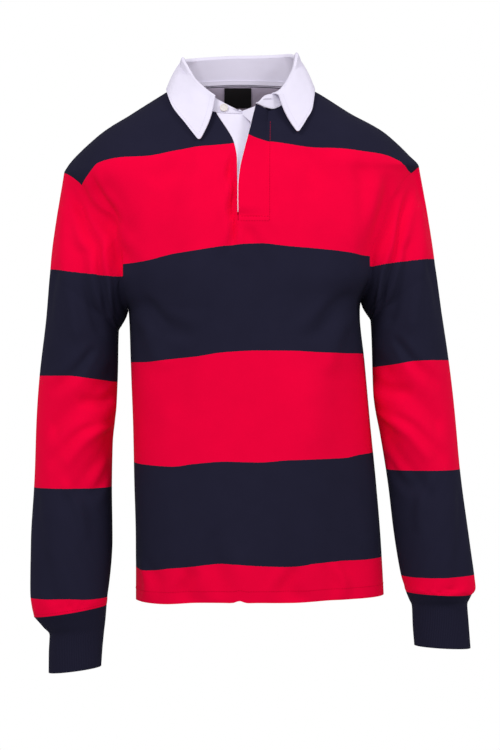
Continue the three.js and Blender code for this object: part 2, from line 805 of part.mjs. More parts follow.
// A dished button with a raised rim, its flat back at the origin facing down its axis, +Z
function buttonGeometry({ radius, thickness, rim, dish }) {
  const profile = [
    [0, 0],
    [radius * 0.85, 0],
    [radius, thickness * 0.4],
    [radius * 0.94, thickness],
    [radius - rim, thickness],
    [radius - rim * 1.8, thickness - dish],
    [0, thickness - dish],
  ];
  const lathe = new THREE.LatheGeometry(
    profile.map(([across, up]) => new THREE.Vector2(across, up)),
    BUTTON_SIDES,
  );
  return lathe.rotateX(Math.PI / 2);
}

function button(name, size, place, direction) {
  const mesh = piece(name, buttonGeometry(size), COLOURS.white, 0.5);
  mesh.position.copy(place);
  mesh.quaternion.setFromUnitVectors(point(0, 0, 1), direction);
  return mesh;
}

function collarButton() {
  const { turn, up } = COLLAR_BUTTON;
  const across = standPoint(turn + 4, up).sub(standPoint(turn - 4, up));
  const rise = standPoint(turn, up + 0.2).sub(standPoint(turn, up - 0.2));
  const outward = rise.cross(across).normalize();
  const place = standPoint(turn, up).addScaledVector(outward, SEAM_GAP);
  return button("collar_button", BUTTON, place, outward);
}

function placketButton({ name, x, height, lift }) {
  const outward = onBody(x, height, -1, 1).sub(onBody(x, height, -1, 0)).normalize();
  return button(`placket_button_${name}`, HIDDEN_BUTTON, onBody(x, height, -1, lift), outward);
}

export default new THREE.Group().add(
  piece("front", frontGeometry(), COLOURS.red),
  piece("back", wall(back.outer, back.inner), COLOURS.navy),
  piece("sleeve_right", sleeveGeometry("right"), COLOURS.red),
  piece("sleeve_left", sleeveGeometry("left"), COLOURS.red),
  piece("cuff_right", cuffGeometry("right"), COLOURS.navy),
  piece("cuff_left", cuffGeometry("left"), COLOURS.navy),
  piece("collar_stand", standGeometry(), COLOURS.white),
  piece("collar_fall", fallGeometry(), COLOURS.white),
  piece("placket_over", strip(STRIP_ROWS, STRIP_COLUMNS, overPlace, JERSEY), COLOURS.red),
  piece("placket_facing", strip(STRIP_ROWS, STRIP_COLUMNS, facingPlace, THIN_CLOTH), COLOURS.white),
  piece("placket_under", strip(STRIP_ROWS, STRIP_COLUMNS, underPlace, TWILL), COLOURS.white),
  piece("neck_tape", tapeGeometry(), COLOURS.white),
  piece("neck_patch", patchGeometry(), COLOURS.grey),
  piece("neck_label", labelGeometry(), COLOURS.black),
  collarButton(),
  ...PLACKET_BUTTONS.map(placketButton),
);
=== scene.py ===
# Long-sleeve rugby shirt in navy and red hoops, filled out and hollow, as a Blender add-on run as a script.
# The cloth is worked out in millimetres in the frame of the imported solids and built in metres.
# Right and left are the wearer's: right is -X, left is +X, and the front faces -Y.

import math

import bpy
import numpy as np
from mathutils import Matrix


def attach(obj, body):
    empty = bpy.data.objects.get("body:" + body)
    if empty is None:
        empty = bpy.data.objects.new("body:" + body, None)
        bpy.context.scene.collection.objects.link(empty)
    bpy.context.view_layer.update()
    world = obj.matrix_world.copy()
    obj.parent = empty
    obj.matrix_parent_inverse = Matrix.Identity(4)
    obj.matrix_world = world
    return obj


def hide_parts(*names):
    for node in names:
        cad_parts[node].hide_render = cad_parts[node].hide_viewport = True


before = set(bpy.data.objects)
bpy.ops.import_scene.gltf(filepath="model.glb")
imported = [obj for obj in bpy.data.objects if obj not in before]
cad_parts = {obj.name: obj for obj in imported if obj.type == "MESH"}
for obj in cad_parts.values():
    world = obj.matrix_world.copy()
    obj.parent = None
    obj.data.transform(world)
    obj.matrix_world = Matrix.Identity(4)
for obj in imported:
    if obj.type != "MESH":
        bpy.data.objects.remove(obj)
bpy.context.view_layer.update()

bl_info = {
    "name": "Rugby shirt",
    "version": (1, 0, 0),
    "blender": (4, 5, 0),
    "location": "3D View > Sidebar > Shirt",
    "description": "Makes a hooped long-sleeve rugby shirt piece by piece",
    "category": "Add Mesh",
}

MM = 0.001


# Tables and curves

def table(columns, *rows):
    """A short table of sizes, read by column name."""
    return dict(zip(columns.split(), np.array(rows, dtype=float).T))


def each_row(rows):
    """The rows of a table, each as its values in the order of the columns."""
    return zip(*rows.values())


def mix(a, b, t):
    return a + (b - a) * t


def ramp(value, start, end):
    """0 at the start or before it, 1 at the end or past it."""
    return np.clip((value - start) / (end - start), 0, 1)


def unit(vectors):
    return vectors / np.maximum(np.linalg.norm(vectors, axis=-1, keepdims=True), 1e-9)


def read(rows, key, column, at):
    """A column at any value of its key column, on a smooth curve that never overshoots the rows."""
    keys = rows[key]
    values = rows[column]
    at = np.clip(at, keys[0], keys[-1])
    slopes = np.diff(values) / np.diff(keys)
    before, after = slopes[:-1], slopes[1:]
    shared = np.where(before * after > 0, before + after, 1)
    between = np.where(before * after > 0, 2 * before * after / shared, 0)
    tangents = np.concatenate([slopes[:1], between, slopes[-1:]])
    i = np.clip(np.searchsorted(keys, at, side="right") - 1, 0, len(keys) - 2)
    span = keys[i + 1] - keys[i]
    t = (at - keys[i]) / span
    rise = t * t * (3 - 2 * t)
    start = tangents[i] * span * t * (1 - t) ** 2
    end = tangents[i + 1] * span * t * t * (1 - t)
    return mix(values[i], values[i + 1], rise) + start - end


def read_row(rows, column, place):
    """A column at a place between rows, counted in rows."""
    places = {"place": np.arange(len(rows[column]), dtype=float), "value": rows[column]}
    return read(places, "place", "value", place)


def near_fold(x, y, from_x, from_y, to_x, to_y, width):
    """1 on the line of a fold, falling off softly to its sides and ends."""
    along_x, along_y = to_x - from_x, to_y - from_y
    t = np.clip(((x - from_x) * along_x + (y - from_y) * along_y) / (along_x**2 + along_y**2), 0, 1)
    away = np.hypot(x - from_x - along_x * t, y - from_y - along_y * t)
    return np.exp(-((away / width) ** 2))


def crease(x, y, from_x, from_y, to_x, to_y, width):
    """A fine fold that fades towards both ends, wanders a little, and has a soft lip on each side."""
    along_x, along_y = to_x - from_x, to_y - from_y
    length = math.hypot(along_x, along_y)
    t = ((x - from_x) * along_x + (y - from_y) * along_y) / length**2
    side = ((x - from_x) * along_y - (y - from_y) * along_x) / length
    wander = 0.35 * width * np.sin(6.3 * t + 0.05 * from_x + 0.03 * to_y)
    away = (side + wander) / (width * (0.7 + 0.6 * np.clip(t, 0, 1)))
    fade = np.clip(4 * t * (1 - t), 0, 1) ** 0.8
    return fade * (np.exp(-(away**2)) - 0.35 * np.exp(-((np.abs(away) - 1.9) ** 2)))


# Sizes of the cloth, as in the solids but for the collar's top line and the end of the stand's tab

JERSEY = 1.6
TWILL = 1.8
RIB = 2.2
THIN_CLOTH = 1.0
SEAM_GAP = 0.3
LAID_GAP = 0.9
ROUND = 2.4
HEM = {"right": -699, "left": -692}
ARMPIT = {"right": -309, "left": -297}
SHOULDER_TIP = {"right": -122, "left": -114}
BODY = table(
    "height right left front back",
    (-700, 142, 194, 112, 116),
    (-620, 142, 190, 116, 112),
    (-540, 144, 184, 117, 104),
    (-457, 146, 176, 118, 99),
    (-380, 149, 169, 121, 103),
    (-309, 152, 162, 125, 111),
    (-297, 161, 163, 126, 113),
    (-263, 183, 197, 128, 118),
    (-236, 190, 210, 127, 121),
    (-197, 196, 225, 125, 122),
    (-156, 219, 230, 118, 119),
    (-122, 240, 237, 110, 112),
    (-114, 236, 243, 108, 110),
    (-97, 222, 229, 103, 105),
    (-69, 188, 198, 95, 93),
    (-42, 147, 150, 86, 81),
    (-15, 104, 107, 74, 68),
    (-4, 86, 86, 69, 63),
    (6, 80, 80, 66, 60),
)
ARMHOLE = {
    "right": table(
        "height front back",
        (-309, 152, 152),
        (-290, 155, 160),
        (-244, 159, 170),
        (-197, 165, 181),
        (-170, 188, 199),
        (-143, 214, 219),
        (-122, 240, 240),
    ),
    "left": table(
        "height front back",
        (-297, 163, 163),
        (-263, 174, 176),
        (-236, 177, 184),
        (-197, 192, 197),
        (-156, 206, 212),
        (-134, 223, 225),
        (-114, 243, 243),
    ),
}
NECK = {"half": 86, "front": -50, "side": -4, "back": 3}
NECK_FRONT_POWER = 3
NECK_BACK_POWER = 2
SLIT = table(
    "height right left",
    (-700, -3.4, 35.3),
    (-187, -3.4, 35.3),
    (-113, -4.2, 35.6),
    (-90, -8, 36),
    (-47, -34.7, 36.8),
)
FOLDS = {
    -1: table(
        "from_x from_z to_x to_z width depth",
        (160, -128, 162, -236, 14, -5),
        (178, -150, 168, -262, 12, 3),
        (-176, -150, -150, -206, 14, -4),
        (-150, -236, -128, -300, 18, -3),
        (-20, -262, -82, -430, 26, -3),
        (-58, -270, -116, -410, 24, 3),
        (33, -258, 80, -384, 26, -3),
        (112, -290, 96, -470, 30, 3),
        (140, -400, 158, -640, 26, -4),
        (-118, -470, -112, -660, 24, -3),
        (0, -640, 0, -700, 16, 4),
    ),
    1: table(
        "from_x from_z to_x to_z width depth",
        (-158, -150, -150, -262, 16, -5),
        (166, -140, 160, -256, 16, -5),
        (-70, -130, -34, -330, 30, -3),
        (84, -140, 30, -350, 30, -3),
        (-96, -360, -70, -600, 28, -4),
        (20, -380, 44, -640, 30, 4),
        (118, -400, 140, -650, 26, -4),
    ),
}
SLEEVE = {
    "right": table(
        "out_x out_z in_x in_z depth back",
        (-259, -253, -165, -336, 66, 2),
        (-265, -328, -166, -378, 63, 3),
        (-272, -400, -169, -441, 60, 2),
        (-277.5, -473, -173.5, -491, 57, -1),
        (-281, -545, -174, -555, 54, -6),
        (-284, -620, -174.5, -620, 51, -13),
        (-283.5, -688, -178.5, -680, 49, -20),
        (-278.5, -722, -180.5, -706, 46, -24),
    ),
    "left": table(
        "out_x out_z in_x in_z depth back",
        (265, -246, 176.5, -322, 66, 2),
        (275, -321, 178.5, -362, 63, 3),
        (284, -393, 181, -423, 60, 2),
        (293, -468, 190, -479, 57, -1),
        (301, -541, 200, -544, 54, -6),
        (309.5, -613, 209, -609, 51, -13),
        (317.5, -682, 219, -670, 49, -19),
        (312.5, -692, 223.5, -688, 47, -22),
    ),
}
CUFF = {
    "right": table(
        "out_x out_z in_x in_z depth back",
        (-278.5, -722, -180.5, -706, 46, -24),
        (-266, -736, -182, -725, 38, -25),
        (-257.5, -747, -184, -743, 32, -26),
        (-258.5, -772, -186, -765, 30, -28),
        (-258.5, -797, -187.5, -788, 30, -30),
    ),
    "left": table(
        "out_x out_z in_x in_z depth back",
        (312.5, -692, 223.5, -688, 47, -22),
        (309.5, -698, 227.5, -698, 39, -23),
        (306.5, -706, 231.5, -708, 32, -24),
        (308.5, -735, 232.5, -734, 30, -26),
        (310.5, -764, 234.5, -760, 30, -28),
    ),
}
SLEEVE_FOLDS = table(
    "from_along from_turn to_along to_turn width depth",
    (0.1, 150, 0.34, 96, 14, 4),
    (0.14, 108, 0.3, 62, 12, -5),
    (0.4, 30, 0.56, 118, 12, -5),
    (0.47, 22, 0.62, 96, 12, 4),
    (0.56, 20, 0.7, 88, 12, -4),
    (0.48, 330, 0.6, 236, 13, -5),
    (0.72, 150, 0.92, 110, 13, -3),
    (0.14, 250, 0.34, 296, 14, -4),
)
SLEEVE_LENGTH = 560
SLEEVE_GIRTH = 360
SLEEVE_HEAD_BULGE = 7
STAND = table(
    "turn roll_x roll_y roll_z seam_rise seam_lift",
    (-2.5, 1, -89, -45, 0, 0),
    (10.7, -24, -84, -31, 0, 0),
    (24, -43.5, -79, -19, 0, 0),
    (49, -58, -60, -3, 0, 0),
    (72, -68, -30, 15, 0, 0),
    (90, -76, 2, 32, 0, 0),
    (125, -61, 42, 38.5, 0, 0),
    (180, 0, 59, 44.1, 0, 0),
    (235, 61, 42, 44.1, 0, 0),
    (270, 74, 2, 37.6, 0, 0),
    (288, 71, -30, 19, 0, 0),
    (310, 62, -60, -3, 0, 0),
    (326, 49, -78, -18, 0, 0),
    (338, 33, -88, -23, 4.6, 5),
    (346, 22, -98, -36, 8, 15),
)
FALL = table(
    "turn roll_x roll_y roll_z edge_x edge_z",
    (20, -33, -90, -26, -53.5, -88),
    (49, -60, -62, -1, -72, -64),
    (72, -70, -31, 17, -91, -37),
    (90, -78, 2, 34, -98, -11),
    (125, -63, 44, 40.5, -87, -25),
    (180, 0, 62, 46.1, 0, -27),
    (235, 63, 44, 46.3, 87, -25),
    (270, 76, 2, 39.6, 98, -11),
    (288, 73, -31, 21, 95, -43),
    (310, 64, -62, -1, 87, -59),
    (331, 51, -88, -24, 76, -77),
)
FALL_BULGE = 2
FALL_LIFT = 2.5
LEAF_BOW = {"depth": 4.5, "reach": 9, "direction": ((0.95, 0, -0.31), (-0.9, 0, -0.43))}
LEAF_TIP = (5, 0.08)
ROLL = {"drop": 2.4, "rise": 1.5, "rows": 10, "lap": 1.2}
OVER_EDGE = table(
    "height x lift",
    (-187, -2.1, 2.4),
    (-175, -2.2, 4.2),
    (-153, -2.3, 4.8),
    (-126, -0.1, 5.6),
    (-106, 4.5, 7),
    (-73, 13.5, 12),
    (-44, 21, 17),
)
UNDER_EDGE = table("height x", (-187, 32), (-113, 32), (-90, 28), (-60, 20), (-49, 14))
OVER = {"bottom": -185.3, "top_at_edge": -44, "seam_lift": 0.2, "curl": 0.8}
FACING = {"bottom": -182, "shows": 1.2, "short_of_seam": 5, "turned_in": 0.85}
FACING_CORNER = {"height": (-66, -46), "reach": 21}
UNDER = {"bottom": -182, "sink": 5, "curl": 0.35, "flat_above": -60, "sunk_below": -120}
SEWN = {"foot": 12, "neck": (-54, -45), "lap": 0.35, "neck_sink": 1.8}
STRIP_GAP = 0.5
TUCK = 2.2
PATCH = {"half": 58, "drop": 31, "end_drop": 4}
TAPE = {"from_turn": 98, "to_turn": 262, "low": 0.04, "high": 0.2}
LABEL = {"right": -23, "left": 15, "top": 2, "bottom": -23.5}

# Fine creases that only the looks need: on the front, on the back and round the sleeves. The tuck beside
# an armhole has a depth and a reach in rows of the grid, and a sleeve's folds fade over some rows at its
# head and its cuff. Cloth lies pressed up to the first number of each pair and creases freely from the
# second.

CREASES = {
    -1: table(
        "from_x from_z to_x to_z width depth",
        (-13, -104, -11, -150, 5, -2.2),
        (-9, -136, -11, -196, 4.5, -2.6),
        (-9, -176, -10, -236, 4.5, -2.4),
        (-24, -150, -22, -240, 11, 1),
        (44, -120, 40, -186, 5, -1.2),
        (4, -196, 30, -250, 8, -1),
        (-140, -296, -60, -352, 9, -1.8),
        (-146, -312, -92, -388, 10, 1.4),
        (146, -286, 84, -352, 9, -1.8),
        (152, -306, 110, -396, 10, 1.4),
        (-199, -128, -163, -204, 6, -2.4),
        (-178, -176, -150, -262, 9, -1.8),
        (196, -128, 170, -300, 12, -3.4),
        (150, -140, 146, -250, 14, 1),
        (-60, -92, -110, -150, 16, -1.4),
        (70, -92, 118, -150, 16, -1.4),
        (-128, -640, -120, -700, 7, 1.6),
        (-72, -650, -66, -700, 12, -1.8),
        (62, -648, 70, -697, 12, -1.8),
        (128, -640, 140, -697, 8, 1.6),
        (-34, -600, -30, -690, 14, -1.5),
    ),
    1: table(
        "from_x from_z to_x to_z width depth",
        (-146, -296, -70, -348, 10, -2),
        (150, -290, 78, -350, 10, -2),
        (-190, -130, -150, -190, 9, -2),
        (200, -126, 160, -196, 9, -2),
        (-110, -640, -104, -698, 10, 1.8),
        (-40, -646, -44, -698, 12, -2),
        (52, -640, 58, -696, 12, 1.8),
        (124, -640, 134, -696, 10, -1.8),
        (-30, -60, -60, -150, 18, -1.6),
        (36, -60, 70, -156, 18, -1.6),
    ),
}
SLEEVE_CREASES = table(
    "from_along from_turn to_along to_turn width depth",
    (0.02, 156, 0.2, 38, 9, -3.6),
    (0.06, 124, 0.18, 30, 9, 1.6),
    (0.1, 70, 0.26, 20, 7, 1.8),
    (0.2, 130, 0.36, 150, 8, -1.2),
    (0.36, 60, 0.5, 130, 6, -2),
    (0.43, 12, 0.5, 84, 6, -2.2),
    (0.5, 8, 0.58, 70, 6, 2),
    (0.53, 52, 0.64, 128, 7, -2),
    (0.62, 10, 0.7, 70, 7, -1.8),
    (0.66, 100, 0.78, 60, 8, 1.6),
    (0.42, 350, 0.5, 268, 7, -2.2),
    (0.52, 346, 0.62, 262, 7, 2),
    (0.1, 300, 0.22, 340, 8, -2.2),
    (0.76, 300, 0.9, 250, 9, -2),
)
ARMHOLE_TUCK = {"right": (9, 4), "left": (4, 3)}
CREASE_SCALE = 2.5
SLEEVE_CREASE_SCALE = 1.9
DRAPE = table(
    "across down turn depth",
    (17, 190, 0.4, 1.7),
    (26, -120, 1.9, 2.1),
    (10.5, 260, 3.1, 0.5),
    (38, 70, 0.9, 1.2),
)
HEM_SWAY = table("x width depth", (-0.6, 6, -3.5), (-100, 34, 2.5), (66, 34, 2))
FOLD_FADE = {"head": 8, "cuff": 6}
CUFF_GATHERS = 15
CUFF_GATHER_DEPTH = 1.5
PRESSED = {
    "neck": (-46, -76),
    "back_neck": (-10, -50),
    "right_of_slit": (-4, -7.5),
    "left_of_placket": (39, 53),
    "under_placket": (-192, -208),
}

# Where each hoop ends on the front, by how far from the middle: the navy yoke, red chest, navy waist,
# red belly and navy band above the red hem

BODY_HOOPS = table(
    "x yoke chest waist belly band",
    (-240, -178, -253, -380, -511, -652),
    (-214, -143, -253, -380, -511, -652),
    (-201, -127, -252, -380, -511, -652),
    (-188, -115, -251, -380, -511, -652),
    (-157, -109, -249, -379, -512, -652),
    (-130, -107.5, -246, -379, -515, -656),
    (-90, -100, -237, -375, -517, -651),
    (-60, -95, -233, -372, -513, -648),
    (-20, -91, -227, -366, -510, -644),
    (25, -87, -223, -364, -511, -647),
    (65, -91, -227, -364, -508, -648),
    (105, -95, -230, -366, -507, -644),
    (143, -99, -234, -367, -506, -642),
    (165, -101, -238, -367, -502, -642),
    (190, -102, -241, -368, -500, -641),
    (218, -109, -245, -368, -500, -641),
    (223, -118, -246, -368, -500, -641),
    (234, -126, -247, -368, -500, -641),
)
SLEEVE_HOOPS = {
    "right": table(
        "x upper elbow forearm wrist",
        (-285, -256, -397, -548, -696),
        (-258, -254, -397, -548, -696),
        (-230, -258, -397, -548, -695),
        (-204, -261, -400, -548, -696),
        (-172, -265, -405, -547, -695),
    ),
    "left": table(
        "x upper elbow forearm wrist",
        (176, -252, -386, -516, -665),
        (205, -247, -382, -524, -666),
        (235, -243, -377, -524, -667),
        (262, -240, -376, -524, -667),
        (315, -238, -376, -523, -665),
    ),
}

# How finely the cloth is divided: the solids' own cells times a whole number

LOWER_ROWS = 13 * 8
UPPER_ROWS = 12 * 5
UPPER_ROW_POWER = 1.5
SLIT_BOTTOM_ROW = LOWER_ROWS + 4 * 5
SHOULDER_CELLS = 9 * 5
NECK_CELLS = 4 * 5
SLIT_CELLS = 3 * 5
BACK_NECK_CELLS = 12 * 5
SOLID_SLEEVE_RINGS = {"head": 5, "arm": 14}
SLEEVE_HEAD_RINGS = SOLID_SLEEVE_RINGS["head"] * 7
SLEEVE_RINGS = SOLID_SLEEVE_RINGS["arm"] * 9
CUFF_RINGS = 28
COLLAR_COLUMNS = 240
STAND_ROWS = 14
FALL_ROWS = 30
STRIP_COLUMNS = 20
STRIP_ROWS = 70


# The body's surface. A side is -1 for the front and 1 for the back.

def half_width(x, height):
    right = read(BODY, "height", "right", height)
    left = read(BODY, "height", "left", height)
    return np.where(np.asarray(x) < 0, right, left)


def half_depth(side, height):
    return read(BODY, "height", "front" if side < 0 else "back", height)


def body_depth(x, height, side):
    across = np.minimum(np.abs(x) / half_width(x, height), 1)
    return half_depth(side, height) * (1 - across**ROUND) ** (1 / ROUND)


def body_normal(x, y, height, side):
    def level(z):
        across = np.abs(x) / half_width(x, z)
        return across**ROUND + (np.abs(y) / half_depth(side, z)) ** ROUND

    def slope(value, half):
        return np.sign(value) * ROUND * np.abs(value) ** (ROUND - 1) * half**-ROUND

    rise = (level(height + 1) - level(height - 1)) / 2
    return unit(np.stack([
        slope(x, half_width(x, height)),
        slope(y, half_depth(side, height)),
        rise,
    ], axis=-1))


def fold_sum(x, y, rows, shape):
    total = np.zeros(np.broadcast(x, y).shape)
    for *line_and_width, depth in each_row(rows):
        total = total + depth * shape(x, y, *line_and_width)
    return total


def unpressed(x, height, side):
    """How freely the cloth may crease: 0 beside the neck seam and the placket, 1 away from them."""
    if side > 0:
        return ramp(height, *PRESSED["back_neck"])
    beside = np.maximum(ramp(x, *PRESSED["right_of_slit"]), ramp(x, *PRESSED["left_of_placket"]))
    below = ramp(height, *PRESSED["under_placket"])
    return ramp(height, *PRESSED["neck"]) * np.maximum(beside, below)


def body_fold(x, height, side, fine=1):
    main = fold_sum(x, height, FOLDS[side], near_fold)
    small = fold_sum(x, height, CREASES[side], crease) * CREASE_SCALE
    drape = sum(
        depth * np.sin(x / across + height / down + turn + side)
        for across, down, turn, depth in each_row(DRAPE)
    )
    return main + fine * (small + drape) * unpressed(x, height, side)


def on_body(x, height, side, lift=0, fine=1):
    """A point on the body's cloth, or lifted off it."""
    x = np.asarray(x, dtype=float)
    height = np.asarray(height, dtype=float)
    y = side * body_depth(x, height, side)
    edge = np.abs(y) / half_depth(side, height)
    away = lift + body_fold(x, height, side, fine) * np.minimum(edge * 2, 1)
    place = np.stack(np.broadcast_arrays(x, y, height), axis=-1)
    return place + body_normal(x, y, height, side) * away[..., None]


def off_body(x, height, side):
    """The way straight out from the body."""
    return unit(on_body(x, height, side, 1) - on_body(x, height, side, 0))


def neck_height(x, side):
    across = np.minimum(np.abs(x) / NECK["half"], 1)
    if side < 0:
        return mix(NECK["front"], NECK["side"], across**NECK_FRONT_POWER)
    return mix(NECK["back"], NECK["side"], across**NECK_BACK_POWER)


def neck_point(turn, lift=0):
    x = -NECK["half"] * np.sin(np.radians(turn))
    front = on_body(x, neck_height(x, -1), -1, lift, 0)
    back = on_body(x, neck_height(x, 1), 1, lift, 0)
    return np.where((np.cos(np.radians(turn)) > 0)[..., None], front, back)


# Cloth grids. Rows run along the cloth and columns across it.

def moved(grid, distance, wrapped=False):
    """The grid moved along its own surface direction, taken from each point's neighbours."""
    if wrapped:
        across = np.roll(grid, -1, axis=1) - np.roll(grid, 1, axis=1)
    else:
        padded = np.concatenate([grid[:, :1], grid, grid[:, -1:]], axis=1)
        across = padded[:, 2:] - padded[:, :-2]
    padded = np.concatenate([grid[:1], grid, grid[-1:]], axis=0)
    along = padded[2:] - padded[:-2]
    return grid + unit(np.cross(across, along)) * distance


def cells(rows, columns, wrapped=False, keep=None):
    """The four corners of each cell of a grid, or of the cells kept."""
    across = columns if wrapped else columns - 1
    row, column = np.meshgrid(np.arange(rows - 1), np.arange(across), indexing="ij")
    beside = (column + 1) % columns
    corners = np.stack([
        row * columns + column,
        row * columns + beside,
        (row + 1) * columns + beside,
        (row + 1) * columns + column,
    ], axis=-1)
    if keep is not None:
        return corners[keep(row, column)]
    return corners.reshape(-1, 4)


def cloth_lengths(grid):
    """How far each point lies across and along the cloth, in millimetres."""
    across = np.linalg.norm(np.diff(grid, axis=1), axis=-1)
    across = np.concatenate([np.zeros((len(grid), 1)), np.cumsum(across, axis=1)], axis=1)
    across = across - across[:, -1:] / 2
    along = np.linalg.norm(np.diff(grid, axis=0), axis=-1)
    along = np.concatenate([np.zeros((1, grid.shape[1])), np.cumsum(along, axis=0)], axis=0)
    return across, along


def new_mesh(name, points, faces):
    """An object whose mesh lies in the solids' frame, from points in millimetres."""
    mesh = bpy.data.meshes.new(name)
    mesh.from_pydata((np.asarray(points) * MM).tolist(), [], faces)
    mesh.polygons.foreach_set("use_smooth", [True] * len(mesh.polygons))
    mesh.update()
    obj = bpy.data.objects.new(name, mesh)
    bpy.context.scene.collection.objects.link(obj)
    return obj


def outward(grid, faces, middle):
    """The faces, turned over if they look towards the middle."""
    points = grid.reshape(-1, 3)
    a, b, c, d = (points[faces[:, i]] for i in range(4))
    normal = np.cross(c - a, d - b)
    centre = (a + b + c + d) / 4
    away = centre - np.broadcast_to(middle, grid.shape).reshape(-1, 3)[faces[:, 0]]
    return faces if (normal * away).sum() > 0 else faces[:, ::-1]


def add_values(mesh, name, values):
    values = np.asarray(values, dtype=float)
    if values.ndim == 1:
        mesh.attributes.new(name, "FLOAT", "POINT").data.foreach_set("value", values)
    else:
        mesh.attributes.new(name, "FLOAT_VECTOR", "POINT").data.foreach_set("vector", values.ravel())


def closed_shell(outer_faces, count):
    """Faces of a wall: the outer layer, the inner one below it, and a rim along every open edge."""
    inner_faces = outer_faces[:, ::-1] + count
    edges = np.stack([outer_faces, np.roll(outer_faces, -1, axis=1)], axis=-1).reshape(-1, 2)
    keys = edges[:, 0] * count + edges[:, 1]
    reverse = edges[:, 1] * count + edges[:, 0]
    open_edges = edges[~np.isin(keys, reverse)]
    a, b = open_edges[:, 0], open_edges[:, 1]
    rim = np.stack([b, a, a + count, b + count], axis=-1)
    return np.concatenate([outer_faces, inner_faces, rim])


def cloth_piece(name, outer, inner, finish, middle=None, wrapped=False, keep=None, hoops=None):
    """One piece of cloth: a thin closed wall between its outer and inner grids, with soft cut edges."""
    if middle is None:
        middle = outer * (0, 0, 1)
    faces = outward(outer, cells(*outer.shape[:2], wrapped, keep), middle)
    used, index = np.unique(faces, return_inverse=True)
    points = np.concatenate([outer.reshape(-1, 3)[used], inner.reshape(-1, 3)[used]])
    obj = new_mesh(name, points, closed_shell(index.reshape(-1, 4), len(used)).tolist())
    across, along = cloth_lengths(outer)
    lengths = np.stack([across, along, np.zeros_like(across)], axis=-1).reshape(-1, 3)[used]
    add_values(obj.data, "cloth", np.concatenate([lengths, lengths]))
    if hoops is not None:
        level = hoops.reshape(-1)[used]
        add_values(obj.data, "hoop", np.concatenate([level, level]))
    edge = obj.modifiers.new("Soft cut edges", "BEVEL")
    edge.width = 0.45 * MM
    edge.segments = 2
    edge.limit_method = "ANGLE"
    edge.angle_limit = math.radians(60)
    edge.use_clamp_overlap = True
    obj.data.materials.append(finish)
    return obj


def inside(grid, thickness, wrapped=False, middle=None):
    """The inner layer of a piece: its outer grid moved towards the middle."""
    inner = moved(grid, thickness, wrapped)
    if middle is None:
        middle = grid * (0, 0, 1)
    away = (inner - grid) * (grid - middle)
    return inner if away.sum() < 0 else moved(grid, -thickness, wrapped)


def hoop_level(x, height, hoops, start, top=60, bottom=-860):
    """A number that passes a whole value where one hoop ends and the next begins."""
    names = [name for name in hoops if name != "x"]
    ends = [read(hoops, "x", name, x) for name in names]
    ends = [np.full(x.shape, float(top)), *ends, np.full(x.shape, float(bottom))]
    level = sum(np.clip((a - height) / (a - b), 0, 1) for a, b in zip(ends, ends[1:]))
    return level + start


# Front and back panels

def side_angle(x, height):
    share = (np.abs(x) / half_width(x, height)) ** (ROUND / 2)
    return np.sign(x) * np.arcsin(share) * 2 / math.pi


def at_side_angle(angle, height):
    share = np.sin(np.abs(angle) * math.pi / 2) ** (2 / ROUND)
    return np.sign(angle) * half_width(angle, height) * share


def top_edge(side, stops, neck_cells):
    """The top of a panel: up one shoulder seam, across the neck and down the other."""
    heights = {
        name: np.linspace(tip, NECK["side"], SHOULDER_CELLS + 1) for name, tip in SHOULDER_TIP.items()
    }
    right = -half_width(np.full(SHOULDER_CELLS + 1, -1.0), heights["right"])
    left = half_width(np.full(SHOULDER_CELLS + 1, 1.0), heights["left"])
    neck = np.concatenate([
        np.linspace(a, b, count + 1)[1:] for a, b, count in zip(stops, stops[1:], neck_cells)
    ])[:-1]
    x = np.concatenate([right, neck, left[::-1]])
    height = np.concatenate([heights["right"], neck_height(neck, side), heights["left"][::-1]])
    return x, height


def panel_plan(side, stops, neck_cells, slit_columns=None):
    """Where each point of a panel lies, as its x and its height."""
    top_x, top_height = top_edge(side, stops, neck_cells)
    columns = len(top_x)
    middle = sum(ARMPIT.values()) / 2
    fixed = [(0, -1.0, None), (columns - 1, 1.0, None)]
    if slit_columns:
        for column, name in zip(slit_columns, ("right", "left")):
            angle = side_angle(read(SLIT, "height", name, middle), middle)
            fixed.insert(-1, (column, float(angle), name))
    angles = np.interp(np.arange(columns), [f[0] for f in fixed], [f[1] for f in fixed])
    across = (angles + 1) / 2
    armpit = mix(ARMPIT["right"], ARMPIT["left"], across)
    hem = mix(HEM["right"], HEM["left"], across)
    share = np.linspace(0, 1, LOWER_ROWS + 1)[:, None]
    lower_height = mix(hem, armpit, share)
    lower_x = at_side_angle(np.broadcast_to(angles, lower_height.shape), lower_height)
    step = np.linspace(0, 1, UPPER_ROWS + 1)[1:, None]
    share = 1 - (1 - step) ** UPPER_ROW_POWER
    upper_height = mix(armpit, top_height, share)
    hole = "front" if side < 0 else "back"
    lines = []
    for column, angle, slit in fixed:
        height = upper_height[:, column]
        if slit:
            lines.append(read(SLIT, "height", slit, height))
        else:
            lines.append(angle * read(ARMHOLE["right" if angle < 0 else "left"], "height", hole, height))
    upper_x = np.zeros_like(upper_height)
    for i in range(len(fixed) - 1):
        start, end = fixed[i][0], fixed[i + 1][0]
        span = np.arange(start, end + 1)

        def part(points):
            return (points[span] - points[start]) / (points[end] - points[start])

        between = mix(part(lower_x[-1]), part(top_x), share)
        upper_x[:, span] = mix(lines[i][:, None], lines[i + 1][:, None], between)
    return np.concatenate([lower_x, upper_x]), np.concatenate([lower_height, upper_height])


def hem_drop(x):
    """How far the front's hem hangs below its straight line."""
    return sum(
        depth * np.exp(-(((x - middle) / width) ** 2))
        for middle, width, depth in each_row(HEM_SWAY)
    )


